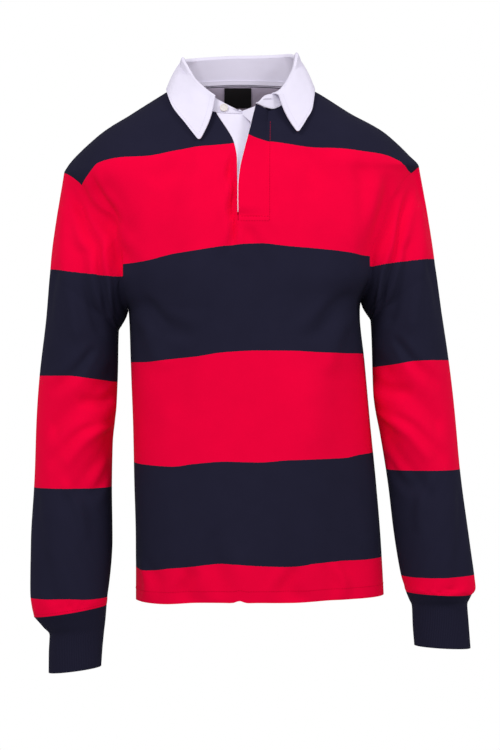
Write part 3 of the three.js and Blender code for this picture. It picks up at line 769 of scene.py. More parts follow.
def panel_grid(side, x, height, lift=0):
    if side < 0:
        height = height - hem_drop(x) * np.exp(-(height - HEM["right"]) / 30)
    grid = on_body(x, height, side, lift)
    seam_y = side * SEAM_GAP / 2
    grid[: LOWER_ROWS + 1, 0, 1] = seam_y
    grid[: LOWER_ROWS + 1, -1, 1] = seam_y
    on_shoulder = np.abs(x[-1]) >= NECK["half"]
    grid[-1, on_shoulder, 1] = seam_y
    return grid


SLIT_COLUMNS = (SHOULDER_CELLS + NECK_CELLS, SHOULDER_CELLS + NECK_CELLS + SLIT_CELLS)
FRONT_PLAN = panel_plan(
    -1,
    (-NECK["half"], SLIT["right"][-1], SLIT["left"][-1], NECK["half"]),
    (NECK_CELLS, SLIT_CELLS, NECK_CELLS),
    SLIT_COLUMNS,
)
BACK_PLAN = panel_plan(1, (-NECK["half"], NECK["half"]), (BACK_NECK_CELLS,))


# Sleeves and cuffs

def armhole_loop(name, columns_in=0):
    """The armhole seam from the underarm up the front, over the shoulder and down the back."""
    column = columns_in if name == "right" else -1 - columns_in
    up = panel_grid(-1, *FRONT_PLAN)[LOWER_ROWS:, column]
    down = panel_grid(1, *BACK_PLAN)[LOWER_ROWS:, column][::-1]
    underarm = (up[0] + down[-1]) / 2
    shoulder = (up[-1] + down[0]) / 2
    return np.concatenate([underarm[None], up[1:-1], shoulder[None], down[1:-1]])


def loop_shares(loop):
    """How far round the arm each point lies: 0 at the underarm, 0.5 on the shoulder."""
    half = len(loop) // 2
    lengths = np.linalg.norm(np.roll(loop, -1, axis=0) - loop, axis=1)
    start = np.concatenate([[0], np.cumsum(lengths)[:-1]])
    first = 0.5 * start[:half] / start[half]
    second = 0.5 + 0.5 * (start[half:] - start[half]) / lengths[half:].sum()
    return np.concatenate([first, second])


def arm_ring(sections, place, shares):
    def value(column):
        return float(read_row(sections, column, place))

    middle = np.array([
        (value("out_x") + value("in_x")) / 2,
        value("back"),
        (value("out_z") + value("in_z")) / 2,
    ])
    inward = np.array([(value("in_x") - value("out_x")) / 2, 0, (value("in_z") - value("out_z")) / 2])
    angle = shares[:, None] * 2 * math.pi
    return middle + inward * np.cos(angle) - np.array([0, value("depth"), 0]) * np.sin(angle)


def sleeve_fold(along, share):
    x = along * SLEEVE_LENGTH
    y = share * SLEEVE_GIRTH

    def scaled(rows):
        turned = dict(rows)
        for column in ("from_along", "to_along"):
            turned[column] = rows[column] * SLEEVE_LENGTH
        return turned

    main = fold_sum(x, y, scaled(SLEEVE_FOLDS), near_fold)
    small = fold_sum(x, y, scaled(SLEEVE_CREASES), crease) * SLEEVE_CREASE_SCALE
    turn = 2 * math.pi * share
    uneven = 0.6 + 0.4 * np.sin(turn * 5 + 1)
    at_cuff = np.exp(-(((along - 0.985) / 0.03) ** 2))
    gather = np.cos(turn * CUFF_GATHERS + 0.6 * math.pi * np.sin(turn * 4)) * uneven * at_cuff
    ripple = 0.8 * np.sin(x / 33 + turn * 4) + 0.7 * np.sin(x / 57 - turn * 3)
    return main + small + CUFF_GATHER_DEPTH * gather + ripple


def sleeve_grid(name):
    seam = armhole_loop(name)
    beside = armhole_loop(name, 1)
    directions = unit(seam - beside)
    directions[0] = unit(np.array([-1.0 if name == "right" else 1.0, 0, -1]))
    shares = loop_shares(seam)
    sections = SLEEVE[name]
    last_section = len(sections["depth"]) - 1
    upper_arm = arm_ring(sections, 0, shares)
    below = arm_ring(sections, 0.5, shares)
    start = seam + directions * SEAM_GAP * 0.5
    centre = (upper_arm[0] + upper_arm[len(shares) // 2]) / 2
    chord = upper_arm - start
    leaving = (below - upper_arm) * np.linalg.norm(chord, axis=1, keepdims=True) / 40
    off_arm = unit((upper_arm - centre) * (1, 0, 0) + upper_arm * (0, 1, 0))
    lobe = np.sin(2 * math.pi * shares)[:, None] ** 2
    head = []
    for t in np.linspace(0, 1, SLEEVE_HEAD_RINGS + 1)[:-1]:
        curved = start * (1 - t) + upper_arm * t - (leaving - chord) * t * t * (1 - t)
        head.append(curved + off_arm * SLEEVE_HEAD_BULGE * math.sin(math.pi * t) * lobe)
    arm = [arm_ring(sections, place, shares) for place in np.linspace(0, last_section, SLEEVE_RINGS + 1)]
    rings = np.array(head + arm)
    handed = 1 if name == "right" else -1
    outwards = moved(rings, handed, True) - rings
    last_ring = len(rings) - 1
    row = np.arange(len(rings))[:, None]
    ease = np.clip(np.minimum(row / FOLD_FADE["head"], (last_ring - row) / FOLD_FADE["cuff"]), 0, 1)
    fold = sleeve_fold(solid_along(row), shares[None, :]) * ease
    depth, reach = ARMHOLE_TUCK[name]
    in_front = np.clip(np.sin(2 * math.pi * shares), 0, 1) ** 0.7 * np.clip((0.46 - shares) / 0.1, 0, 1)
    fold = fold - depth * in_front * row / reach * np.exp(1 - row / reach)
    return rings + outwards * fold[..., None], shares


def solid_along(row):
    """How far along the sleeve a ring lies, counted as the solids' rings are."""
    head, arm = SOLID_SLEEVE_RINGS["head"], SOLID_SLEEVE_RINGS["arm"]
    in_head = row / SLEEVE_HEAD_RINGS * head
    in_arm = head + (row - SLEEVE_HEAD_RINGS) / SLEEVE_RINGS * arm
    return np.where(row < SLEEVE_HEAD_RINGS, in_head, in_arm) / (head + arm)


def cuff_grid(name, shares):
    places = np.linspace(0, len(CUFF[name]["depth"]) - 1, CUFF_RINGS + 1)
    rings = np.array([arm_ring(CUFF[name], place, shares) for place in places])
    return rings - (0, 0, SEAM_GAP * 0.5)


# The collar

def roll_line(rows, turn):
    """The top line that the collar rolls over, by the stand's table or the fall's."""
    return np.stack([read(rows, "turn", f"roll_{axis}", turn) for axis in "xyz"], axis=-1)


def stand_point(turn, up, sink=0):
    height = read(STAND, "turn", "seam_rise", turn) + SEAM_GAP
    rise = np.stack([np.zeros_like(turn), np.zeros_like(turn), height], axis=-1)
    seam = neck_point(turn, read(STAND, "turn", "seam_lift", turn)) + rise
    place = mix(seam, roll_line(STAND, turn), up[..., None])
    place[..., 2] -= sink * np.clip(up, 0, 1) ** 4
    return place


def stand_grid(from_turn, to_turn, low, high, columns, rows):
    ups = np.linspace(low, high, rows + 1)
    up, turn = np.meshgrid(ups, np.linspace(from_turn, to_turn, columns + 1), indexing="ij")
    return stand_point(turn, up, ROLL["drop"])


def whole_stand():
    return stand_grid(STAND["turn"][0], STAND["turn"][-1], 0, 1, COLLAR_COLUMNS, STAND_ROWS)


def tape_grid(rows):
    """The face of the tape that lies on the inside of the stand."""
    strip = stand_grid(TAPE["from_turn"], TAPE["to_turn"], TAPE["low"], TAPE["high"], 150, rows)
    return inside(strip, TWILL + LAID_GAP)


def fall_point(turn, down):
    in_front = (turn < 90) | (turn > 270)
    side = np.where(in_front, -1.0, 1.0)
    edge_x, edge_z = (read(FALL, "turn", column, turn) for column in ("edge_x", "edge_z"))
    front, back = (on_body(edge_x, edge_z, face, FALL_LIFT, 0) for face in (-1, 1))
    edge = np.where(in_front[..., None], front, back)
    p = mix(roll_line(FALL, turn), edge, down[..., None])
    for end, across_edge in zip((FALL["turn"][0], FALL["turn"][-1]), LEAF_BOW["direction"]):
        near_end = np.exp(-(((turn - end) / LEAF_BOW["reach"]) ** 2))
        bow = LEAF_BOW["depth"] * np.sin(math.pi * down) * near_end
        p = p + bow[..., None] * np.array(across_edge)
    off_neck = unit(p * (1, 1, 0))
    p = p + off_neck * (FALL_BULGE * np.sin(math.pi * down))[..., None]
    depth = np.where(in_front, body_depth(p[..., 0], p[..., 2], -1), body_depth(p[..., 0], p[..., 2], 1))
    clear = np.where(depth > 0, depth + FALL_LIFT, 0)
    p[..., 1] = side * np.maximum(side * p[..., 1], clear)
    return p


def rounded_tips(turn, down):
    """The same places with the two points of the fall rounded off."""
    ends = FALL["turn"][0], FALL["turn"][-1]
    round_turn, round_down = LEAF_TIP
    for end, sign in zip(ends, (1, -1)):
        u = np.clip(1 - sign * (turn - end) / round_turn, 0, 1)
        v = np.clip(1 - (1 - down) / round_down, 0, 1)
        shrink = np.maximum(u, v) / np.maximum(np.hypot(u, v), 1e-9)
        inner = (u > 0) & (v > 0)
        turn = np.where(inner, end + sign * (1 - u * shrink) * round_turn, turn)
        down = np.where(inner, 1 - (1 - v * shrink) * round_down, down)
    return turn, down


def fall_grid():
    """The inner layer of the fall: over the roll from the top of the stand, then down to its edge."""
    turns = np.linspace(FALL["turn"][0], FALL["turn"][-1], COLLAR_COLUMNS + 1)
    down, turn = np.meshgrid(np.linspace(0, 1, FALL_ROWS + 1), turns, indexing="ij")
    leaf = fall_point(*rounded_tips(turn, down))
    leaf[..., 2] -= ROLL["drop"] * (1 - down) ** 4
    stand_top = stand_point(turns, np.ones_like(turns)) - (0, 0, ROLL["drop"] + ROLL["lap"])
    stand_top = stand_top - 0.15 * unit(stand_top * (1, 1, 0))
    share = math.pi * np.linspace(0, 1, ROLL["rows"] + 1)[:-1, None]
    over = mix(stand_top, leaf[0], (0.5 - 0.5 * np.cos(share))[..., None])
    over[..., 2] += ROLL["rise"] * np.sin(share)
    return np.concatenate([over, leaf])


# The placket strips

def over_lift(x, height):
    edge = read(OVER_EDGE, "height", "x", height)
    seam = read(SLIT, "height", "left", height)
    share = np.clip((x - edge) / (seam - edge), 0, 1)
    return mix(OVER["seam_lift"], read(OVER_EDGE, "height", "lift", height), (1 - share) ** OVER["curl"])


def sewn_lift(x, height):
    """The over-placket's lift, less where it is sewn down at its foot and under the stand."""
    foot = ramp(height, OVER["bottom"], OVER["bottom"] + SEWN["foot"])
    neck = ramp(height, *SEWN["neck"])
    sink = SEWN["lap"] + SEWN["neck_sink"] * neck * neck * (3 - 2 * neck)
    return over_lift(x, height) * foot * (2 - foot) - sink


def strip_shares():
    up = np.linspace(0, 1, STRIP_ROWS + 1)
    return np.meshgrid(up, np.linspace(0, 1, STRIP_COLUMNS + 1), indexing="ij")


def over_grid():
    """The over-placket, sewn down: its seam side and foot tuck under the panel, its top under the stand."""
    up, across = strip_shares()
    top = mix(OVER["top_at_edge"] + 1, neck_height(SLIT["left"][-1], -1) + TUCK, across)
    height = mix(OVER["bottom"] - TUCK, top, up)
    edge = read(OVER_EDGE, "height", "x", height)
    x = mix(edge, read(SLIT, "height", "left", height) + TUCK, across)
    return on_body(x, height, -1, sewn_lift(x, height), 0), x, height, across


def facing_grid():
    up, across = strip_shares()
    height = mix(FACING["bottom"], OVER["top_at_edge"] - FACING["shows"], up)
    edge = read(OVER_EDGE, "height", "x", height) - FACING["shows"]
    corner = FACING_CORNER["reach"] * ramp(height, *FACING_CORNER["height"])
    x = mix(edge - corner, read(SLIT, "height", "left", height) - FACING["short_of_seam"], across)
    behind = JERSEY + 0.2 + FACING["turned_in"] * np.maximum(edge - x, 0)
    return on_body(x, height, -1, sewn_lift(np.maximum(x, edge), height) - behind, 0)


def under_grid():
    up, across = strip_shares()
    level = mix(UNDER["bottom"], NECK["front"], up)
    edge = read(SLIT, "height", "right", level) + STRIP_GAP
    x = mix(edge, read(UNDER_EDGE, "height", "x", level), across)
    height = mix(UNDER["bottom"], neck_height(x, -1), up)
    sunk = ramp(level, UNDER["flat_above"], UNDER["sunk_below"])
    return on_body(x, height, -1, -UNDER["sink"] * sunk * across ** UNDER["curl"], 0)


# The stage: the camera, a pale floor that fades out round the shirt, the lamps' places and powers, and the
# level of the white studio's own light

CAMERA = {"place": (0.013, -3.4, -0.396), "lens": 120, "sensor": 36}
FLOOR = {"height": -960, "half": 700, "solid": 120, "fade": 430}
LAMPS = {
    "Key softbox": ((-1.4, -1.9, 1.5), 6.1),
    "Side softbox": ((2.0, -1.5, 1.3), 4.9),
    "Front softbox": ((0.1, -2.8, 0.4), 2.5),
}
LAMP = {"size": 0.7, "spread": 80, "aim": (0, 0, -0.3)}
SOFT_LIGHT = 0.6


# Finishes

class Socket:
    """A value inside a finish, so that shader sums are written as Python expressions."""

    def __init__(self, finish, socket):
        self.finish = finish
        self.socket = socket

    def _math(self, operation, *values):
        return self.finish.add("ShaderNodeMath", {"operation": operation}, dict(enumerate(values)))

    def __add__(self, other):
        return self._math("ADD", self, other)

    def __radd__(self, other):
        return self._math("ADD", other, self)

    def __sub__(self, other):
        return self._math("SUBTRACT", self, other)

    def __rsub__(self, other):
        return self._math("SUBTRACT", other, self)

    def __mul__(self, other):
        return self._math("MULTIPLY", self, other)

    def __rmul__(self, other):
        return self._math("MULTIPLY", other, self)

    def __truediv__(self, other):
        return self._math("DIVIDE", self, other)

    def __mod__(self, other):
        return self._math("FLOORED_MODULO", self, other)

    def __gt__(self, other):
        return self._math("GREATER_THAN", self, other)

    def __abs__(self):
        return self._math("ABSOLUTE", self)

    def sine(self):
        return self._math("SINE", self)

    def clamped(self):
        return self._math("MINIMUM", self._math("MAXIMUM", self, 0), 1)


class Finish:
    """A procedural material. Constants sit on the shader's own sockets."""

    def __init__(self, name, constants):
        self.material = bpy.data.materials.new(name)
        self.material.use_nodes = True
        self.tree = self.material.node_tree
        self.shader = self.tree.nodes["Principled BSDF"]
        for socket, value in constants.items():
            self.shader.inputs[socket].default_value = value

    def add(self, kind, settings, sockets, output=0):
        node = self.tree.nodes.new(kind)
        for name, value in settings.items():
            setattr(node, name, value)
        for key, value in sockets.items():
            self._set(node.inputs[key], value)
        return Socket(self, node.outputs[output])

    def _set(self, socket, value):
        if isinstance(value, Socket):
            self.tree.links.new(value.socket, socket)
        else:
            socket.default_value = value

    def feed(self, name, value):
        self._set(self.shader.inputs[name], value)

    def attribute(self, name, output):
        return self.add("ShaderNodeAttribute", {"attribute_name": name}, {}, output)

    def noise(self, vector, scale, detail=2.0, roughness=0.5):
        sockets = {"Vector": vector, "Scale": scale, "Detail": detail, "Roughness": roughness}
        return self.add("ShaderNodeTexNoise", {"noise_dimensions": "3D"}, sockets, "Fac")

    def blend(self, factor, a, b, kind="MIX"):
        settings = {"data_type": "RGBA", "blend_type": kind}
        return self.add("ShaderNodeMix", settings, {0: factor, 6: a, 7: b}, 2)

    def bump(self, height, distance, strength=1.0):
        sockets = {"Height": height, "Distance": distance, "Strength": strength}
        self.feed("Normal", self.add("ShaderNodeBump", {}, sockets, "Normal"))

    def lengths(self):
        """Across and along the cloth in millimetres, and both as a vector."""
        vector = self.attribute("cloth", "Vector")
        split = {name: self.add("ShaderNodeSeparateXYZ", {}, {0: vector}, name) for name in ("X", "Y")}
        return split["X"], split["Y"], vector


def rgba(colour):
    return (*colour, 1.0)


def shade_of(colour, factor):
    return tuple(channel * factor for channel in colour)


def knit(across, along, wale, course):
    """The V-shaped loops of a knit, from 0 in the grooves to 1 on the yarn."""
    rib = abs((across / wale) % 1.0 - 0.5) * 2
    row = ((along / course + rib * 0.5) * (2 * math.pi)).sine() * 0.5 + 0.5
    return rib * 0.6 + row * 0.4


def jersey_finish(name, colours):
    finish = Finish(name, {
        "Roughness": 0.9,
        "Specular IOR Level": 0.03,
        "Sheen Weight": 0.004,
        "Sheen Roughness": 0.5,
    })
    across, along, vector = finish.lengths()
    loops = knit(across, along, 1.25, 1.0)
    yarn = finish.noise(vector, 1.1, 3.0, 0.65)
    patchy = finish.noise(vector, 0.035, 2.0, 0.5)
    level = finish.attribute("hoop", "Fac")
    ragged = (finish.noise(vector, 0.55, 1.0, 0.5) - 0.5) * 0.006 + (loops - 0.5) * 0.002
    red_mask = ((level + ragged) % 2.0) > 1.0
    colour = finish.blend(red_mask, rgba(colours.navy), rgba(colours.red))
    # The darker copies of navy and red are painted shade in the grooves between the knit loops, and uneven
    # yarn tone where the noises run high.
    darker = finish.blend(red_mask, rgba(shade_of(colours.navy, 0.72)), rgba(shade_of(colours.red, 0.84)))
    darkening = ((1.0 - loops) * 0.5 + (yarn - 0.5) * 0.8 + (patchy - 0.5) * 0.5).clamped()
    finish.feed("Base Color", finish.blend(darkening, colour, darker))
    finish.bump(loops * 0.7 + yarn * 0.3, 0.00022, 0.55)
    return finish.material


def rib_finish(name, colours):
    finish = Finish(name, {
        "Roughness": 0.9,
        "Specular IOR Level": 0.03,
        "Sheen Weight": 0.004,
        "Sheen Roughness": 0.5,
    })
    across, along, vector = finish.lengths()
    ribs = ((across / 2.4) * (2 * math.pi)).sine() * 0.5 + 0.5
    rows = ((along / 1.1) * (2 * math.pi)).sine() * 0.5 + 0.5
    yarn = finish.noise(vector, 0.9, 3.0, 0.6)
    # Darker navy in the valleys between the ribs is painted shade; the yarn noise adds uneven tone.
    darkening = ((1.0 - ribs) * 0.6 + (yarn - 0.5) * 0.7).clamped()
    finish.feed("Base Color", finish.blend(darkening, rgba(colours.navy), rgba(shade_of(colours.navy, 0.6))))
    finish.bump(ribs * 0.8 + rows * 0.1 + yarn * 0.1, 0.0006, 0.7)
    return finish.material


def twill_finish(name, colour):
    finish = Finish(name, {
        "Roughness": 0.82,
        "Specular IOR Level": 0.1,
        "Sheen Weight": 0.02,
    })
    across, along, vector = finish.lengths()
    lines = (((across + along) / 1.0) * (2 * math.pi)).sine() * 0.5 + 0.5
    threads = ((along / 0.55) * (2 * math.pi)).sine() * 0.5 + 0.5
    soft = finish.noise(vector, 0.06, 3.0, 0.55)
    fine = finish.noise(vector, 1.6, 2.0, 0.6)
    # Darker along the valleys between the twill lines is painted shade; the two noises add uneven tone.
    darkening = ((1.0 - lines) * 0.35 + (fine - 0.5) * 0.5 + (soft - 0.5) * 0.6).clamped()
    finish.feed("Base Color", finish.blend(darkening, rgba(colour), rgba(shade_of(colour, 0.9))))
    finish.bump(lines * 0.5 + threads * 0.2 + soft * 0.3, 0.00025, 0.5)
    return finish.material


def plain_finish(name, colour, roughness, weave, specular=0.3, depth=0.0002):
    finish = Finish(name, {"Roughness": roughness, "Specular IOR Level": specular})
    across, along, vector = finish.lengths()
    warp = (across * (2 * math.pi / weave)).sine()
    weft = (along * (2 * math.pi / weave)).sine()
    fine = finish.noise(vector, 1.2, 2.0, 0.6)
    darkening = (warp * weft * 0.25 + 0.25 + (fine - 0.5) * 0.6).clamped()
    finish.feed("Base Color", finish.blend(darkening, rgba(colour), rgba(shade_of(colour, 0.78))))
    finish.bump(warp * weft * 0.5 + 0.5, depth, 0.5)
    return finish.material


def rubber_finish(name, colour):
    finish = Finish(name, {"Roughness": 0.55, "Specular IOR Level": 0.45, "Subsurface Weight": 0.1})
    place = finish.add("ShaderNodeTexCoord", {}, {}, "Object")
    cloud = finish.noise(place, 260.0, 3.0, 0.6)
    speck = finish.noise(place, 2400.0, 2.0, 0.5)
    finish.feed("Base Color", finish.blend(cloud, rgba(colour), rgba(shade_of(colour, 0.88))))
    finish.feed("Roughness", 0.5 + speck * 0.12)
    finish.bump(speck, 0.00005, 0.4)
    return finish.material


def thread_finish(name, colour):
    finish = Finish(name, {"Roughness": 0.8, "Specular IOR Level": 0.05})
    place = finish.add("ShaderNodeTexCoord", {}, {}, "Object")
    fibre = finish.noise(place, 1800.0, 3.0, 0.6)
    finish.feed("Base Color", finish.blend(fibre, rgba(colour), rgba(shade_of(colour, 0.75))))
    finish.bump(fibre, 0.00008, 0.5)
    return finish.material


FINISHES = {}


def finish_named(name):
    """The finish of that name, made once from the colours that the user set."""
    if name not in FINISHES:
        colours = bpy.context.scene.shirt_colours
        makers = {
            "jersey": lambda: jersey_finish("Jersey, hooped", colours),
            "rib": lambda: rib_finish("Rib knit", colours),
            "twill": lambda: twill_finish("Collar twill", colours.white),
            "tape": lambda: twill_finish("Neck tape", colours.white),
            "patch": lambda: plain_finish("Patch cotton", colours.patch, 0.85, 0.9, 0.1),
            "label": lambda: plain_finish("Woven label", colours.label, 0.8, 0.5, 0.06),
            "button": lambda: rubber_finish("Button rubber", colours.button),
            "white thread": lambda: thread_finish("White thread", shade_of(colours.white, 0.93)),
            "red thread": lambda: thread_finish("Red thread", shade_of(colours.red, 0.7)),
        }
        FINISHES[name] = makers[name]()
    return FINISHES[name]


def seat(obj, slot, *nodes):
    """The piece rides on the shirt and stands for its nodes; its slot is not used."""
    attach(obj, "root")
    if nodes:
        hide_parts(*nodes)
    return obj


def laid_piece(name, node, grid, thickness, finish, slot, hoops=None):
    """A piece whose outer face is the grid, seated on the shirt and standing for its solid."""
    obj = cloth_piece(name, grid, inside(grid, thickness), finish_named(finish), hoops=hoops)
    return seat(obj, slot, node)


# Stitches. Each thread is kept with the slot of the cloth that it is sewn in.

RED_ON_JERSEY = ("red thread", "jersey")
WHITE_ON_TWILL = ("white thread", "twill")
STITCH = {"pitch": 3.4, "length": 2.5, "radius": 0.26, "sides": 6}
COLLAR_STITCH = {"pitch": 2.9, "length": 2.1, "radius": 0.26, "sides": 6}
DENSE_STITCH = {"pitch": 0.7, "length": 1.3, "radius": 0.4, "sides": 6}
BUTTONHOLE = {"turn": 335.5, "half": 4.2, "up": 0.6, "open": 0.035}
PLACKET_ROWS = {"side": 3.4, "foot": 8.5, "box": 2.4, "tack": (-186, -193)}


def closed(path):
    return np.concatenate([path, path[:1]])


def resampled(path, pitch):
    steps = np.linalg.norm(np.diff(path, axis=0), axis=1)
    run = np.concatenate([[0], np.cumsum(steps)])
    count = max(int(run[-1] / pitch), 1)
    at = (np.arange(count) + 0.5) * run[-1] / count

    def place(offset):
        return np.stack([np.interp(at + offset, run, path[:, i]) for i in range(3)], axis=-1)

    return place(0), unit(place(0.6) - place(-0.6))


def stitch_row(name, path, off_cloth, sewn_with, size=STITCH, sunk=0.1):
    """A row of short stitches along a path, each a rounded thread that dives into the cloth at its ends."""
    thread, slot = sewn_with
    path = np.asarray(path, dtype=float)
    off_cloth = np.broadcast_to(np.asarray(off_cloth, dtype=float), path.shape)
    centres, along = resampled(path, size["pitch"])
    steps = np.concatenate([[0], np.cumsum(np.linalg.norm(np.diff(path, axis=0), axis=1))])
    at = (np.arange(len(centres)) + 0.5) * steps[-1] / len(centres)
    normal = unit(np.stack([np.interp(at, steps, off_cloth[:, i]) for i in range(3)], axis=-1))
    across = unit(np.cross(along, normal))
    sides = size["sides"]
    angle = np.arange(sides) * 2 * math.pi / sides
    profile = [(-0.5, 0.35, -0.9), (-0.36, 0.9, 0.0), (0, 1.1, 0.45), (0.36, 0.9, 0.0), (0.5, 0.35, -0.9)]
    rings = []
    for reach, thick, lift in profile:
        spot = centres + along * reach * size["length"] + normal * (lift - sunk) * size["radius"]
        ring = [
            spot + (across * math.cos(a) + normal * math.sin(a)) * thick * size["radius"] for a in angle
        ]
        rings.append(np.stack(ring, axis=1))
    points = np.stack(rings, axis=1)
    count = len(centres)
    per = len(profile) * sides
    base = np.array([
        (r * sides + s, r * sides + (s + 1) % sides, (r + 1) * sides + (s + 1) % sides, (r + 1) * sides + s)
        for r in range(len(profile) - 1) for s in range(sides)
    ])
    faces = (base[None] + (np.arange(count) * per)[:, None, None]).reshape(-1, 4).tolist()
    caps = [list(range(sides))[::-1], list(range(per - sides, per))]
    faces += [[i + n * per for i in cap] for n in range(count) for cap in caps]
    obj = new_mesh(name, points.reshape(-1, 3), faces)
    obj.data.validate()
    obj.data.materials.append(finish_named(thread))
    return seat(obj, slot)


# Settings that a user would change

def length_setting(name, description, millimetres):
    return bpy.props.FloatProperty(
        name=name, description=description, default=millimetres * MM, unit="LENGTH"
    )


def colour_setting(name, description, colour):
    return bpy.props.FloatVectorProperty(
        name=name, description=description, default=colour, subtype="COLOR"
    )


class ShirtSizes(bpy.types.PropertyGroup):
    jersey: length_setting("Jersey", "Thickness of the body cloth", JERSEY)
    twill: length_setting("Twill", "Thickness of the collar cloth", TWILL)
    rib: length_setting("Rib", "Thickness of the cuffs", RIB)
    hem: length_setting("Hem", "Depth of the turned hem", 15)


class ShirtColours(bpy.types.PropertyGroup):
    navy: colour_setting("Navy", "Navy yarn", (0.0146, 0.0139, 0.0305))
    red: colour_setting("Red", "Red yarn", (0.79, 0.0, 0.038))
    white: colour_setting("White", "Collar and placket cloth", (0.735, 0.695, 0.83))
    patch: colour_setting("Patch", "Half-moon patch", (0.42, 0.36, 0.47))
    label: colour_setting("Label", "Woven label", (0.011, 0.01, 0.011))
    button: colour_setting("Button", "Rubber of the buttons", (0.74, 0.66, 0.64))


# Operators

class MakePanels(bpy.types.Operator):
    """Make the front and back panels in hooped jersey"""

    bl_idname = "shirt.make_panels"
    bl_label = "Front and back"

    def execute(self, context):
        thickness = context.scene.shirt_sizes.jersey / MM

        def outside_slit(row, column):
            in_slit = (column >= SLIT_COLUMNS[0]) & (column < SLIT_COLUMNS[1])
            return (row < SLIT_BOTTOM_ROW) | ~in_slit

        for name, side, plan, keep in (
            ("Front_panel", -1, FRONT_PLAN, outside_slit),
            ("Back_panel", 1, BACK_PLAN, None),
        ):
            grid = panel_grid(side, *plan)
            hoops = hoop_level(plan[0], plan[1], BODY_HOOPS, 0)
            lining = panel_grid(side, *plan, -thickness)
            obj = cloth_piece(name, grid, lining, finish_named("jersey"), keep=keep, hoops=hoops)
            seat(obj, "jersey", "front" if side < 0 else "back")
            area = 0.305 if side < 0 else 0.31
        return {"FINISHED"}


class MakeSleeves(bpy.types.Operator):
    """Make the set-in sleeves in hooped jersey and their rib cuffs"""

    bl_idname = "shirt.make_sleeves"
    bl_label = "Sleeves and cuffs"

    def execute(self, context):
        sizes = context.scene.shirt_sizes
        jersey, rib = finish_named("jersey"), finish_named("rib")
        for name in ("right", "left"):
            grid, shares = sleeve_grid(name)
            middle = np.broadcast_to(grid.mean(axis=1, keepdims=True), grid.shape)
            hoops = hoop_level(grid[..., 0], grid[..., 2], SLEEVE_HOOPS[name], 1)
            lining = inside(grid, sizes.jersey / MM, True, middle)
            obj = cloth_piece(f"Sleeve_{name}", grid, lining, jersey, middle, True, hoops=hoops)
            seat(obj, "jersey", f"sleeve_{name}")
            rings = cuff_grid(name, shares)
            middle = np.broadcast_to(rings.mean(axis=1, keepdims=True), rings.shape)
            lining = inside(rings, sizes.rib / MM, True, middle)
            obj = cloth_piece(f"Cuff_{name}", rings, lining, rib, middle, True)
            seat(obj, "rib", f"cuff_{name}")
        return {"FINISHED"}


class MakeCollar(bpy.types.Operator):
    """Make the twill stand and the fall with its two points"""

    bl_idname = "shirt.make_collar"
    bl_label = "Collar"

    def execute(self, context):
        thickness = context.scene.shirt_sizes.twill / MM
        obj = laid_piece("Collar_stand", "collar_stand", whole_stand(), thickness, "twill", "twill")
        inner = fall_grid()
        obj = cloth_piece("Collar_fall", moved(inner, thickness), inner, finish_named("twill"))
        seat(obj, "twill", "collar_fall")
        return {"FINISHED"}


class MakePlacket(bpy.types.Operator):
    """Make the over-placket, its facing and the under-placket"""

    bl_idname = "shirt.make_placket"
    bl_label = "Placket"

    def execute(self, context):
        grid, x, height, across = over_grid()
        hoops = hoop_level(x, height - 6 * (1 - across) ** 2, BODY_HOOPS, 0)
        obj = laid_piece("Placket_over", "placket_over", grid, JERSEY, "jersey", "jersey", hoops)
        obj = laid_piece("Placket_facing", "placket_facing", facing_grid(), THIN_CLOTH, "twill", "twill")
        obj = laid_piece("Placket_under", "placket_under", under_grid(), TWILL, "twill", "twill")
        return {"FINISHED"}


class MakeNeckInside(bpy.types.Operator):
    """Make the half-moon patch, the blank label and the tape inside the neck"""

    bl_idname = "shirt.make_neck_inside"
    bl_label = "Neck inside"

    def execute(self, context):
        depth = JERSEY + LAID_GAP
        down, x = np.meshgrid(np.linspace(0, 1, 25), np.linspace(-1, 1, 81), indexing="ij")
        x = PATCH["half"] * np.sin(x * math.pi / 2)
        bow = np.sqrt(np.clip(1 - (x / PATCH["half"]) ** 2, 0, 1))
        height = neck_height(x, 1) - SEAM_GAP - down * mix(PATCH["end_drop"], PATCH["drop"], bow)
        grid = on_body(x, height, 1, -depth, 0)
        obj = laid_piece("Neck_patch", "neck_patch", grid, THIN_CLOTH, "patch", "patch")
        height, x = np.meshgrid(
            np.linspace(LABEL["bottom"], LABEL["top"], 17),
            np.linspace(LABEL["right"], LABEL["left"], 29),
            indexing="ij",
        )
        depth = JERSEY + LAID_GAP + THIN_CLOTH + LAID_GAP
        grid = on_body(x, height, 1, -depth, 0)
        obj = laid_piece("Neck_label", "neck_label", grid, THIN_CLOTH, "label", "label")
        obj = laid_piece("Neck_tape", "neck_tape", tape_grid(5), THIN_CLOTH, "tape", "twill")
        return {"FINISHED"}


class MakeButtons(bpy.types.Operator):
    """Finish the rubber buttons that the solids hold"""

    bl_idname = "shirt.make_buttons"
    bl_label = "Buttons"

    def execute(self, context):
        for node in ("collar_button", "placket_button_upper", "placket_button_lower"):
            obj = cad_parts[node]
            obj.data.materials.clear()
            obj.data.materials.append(finish_named("button"))
        return {"FINISHED"}


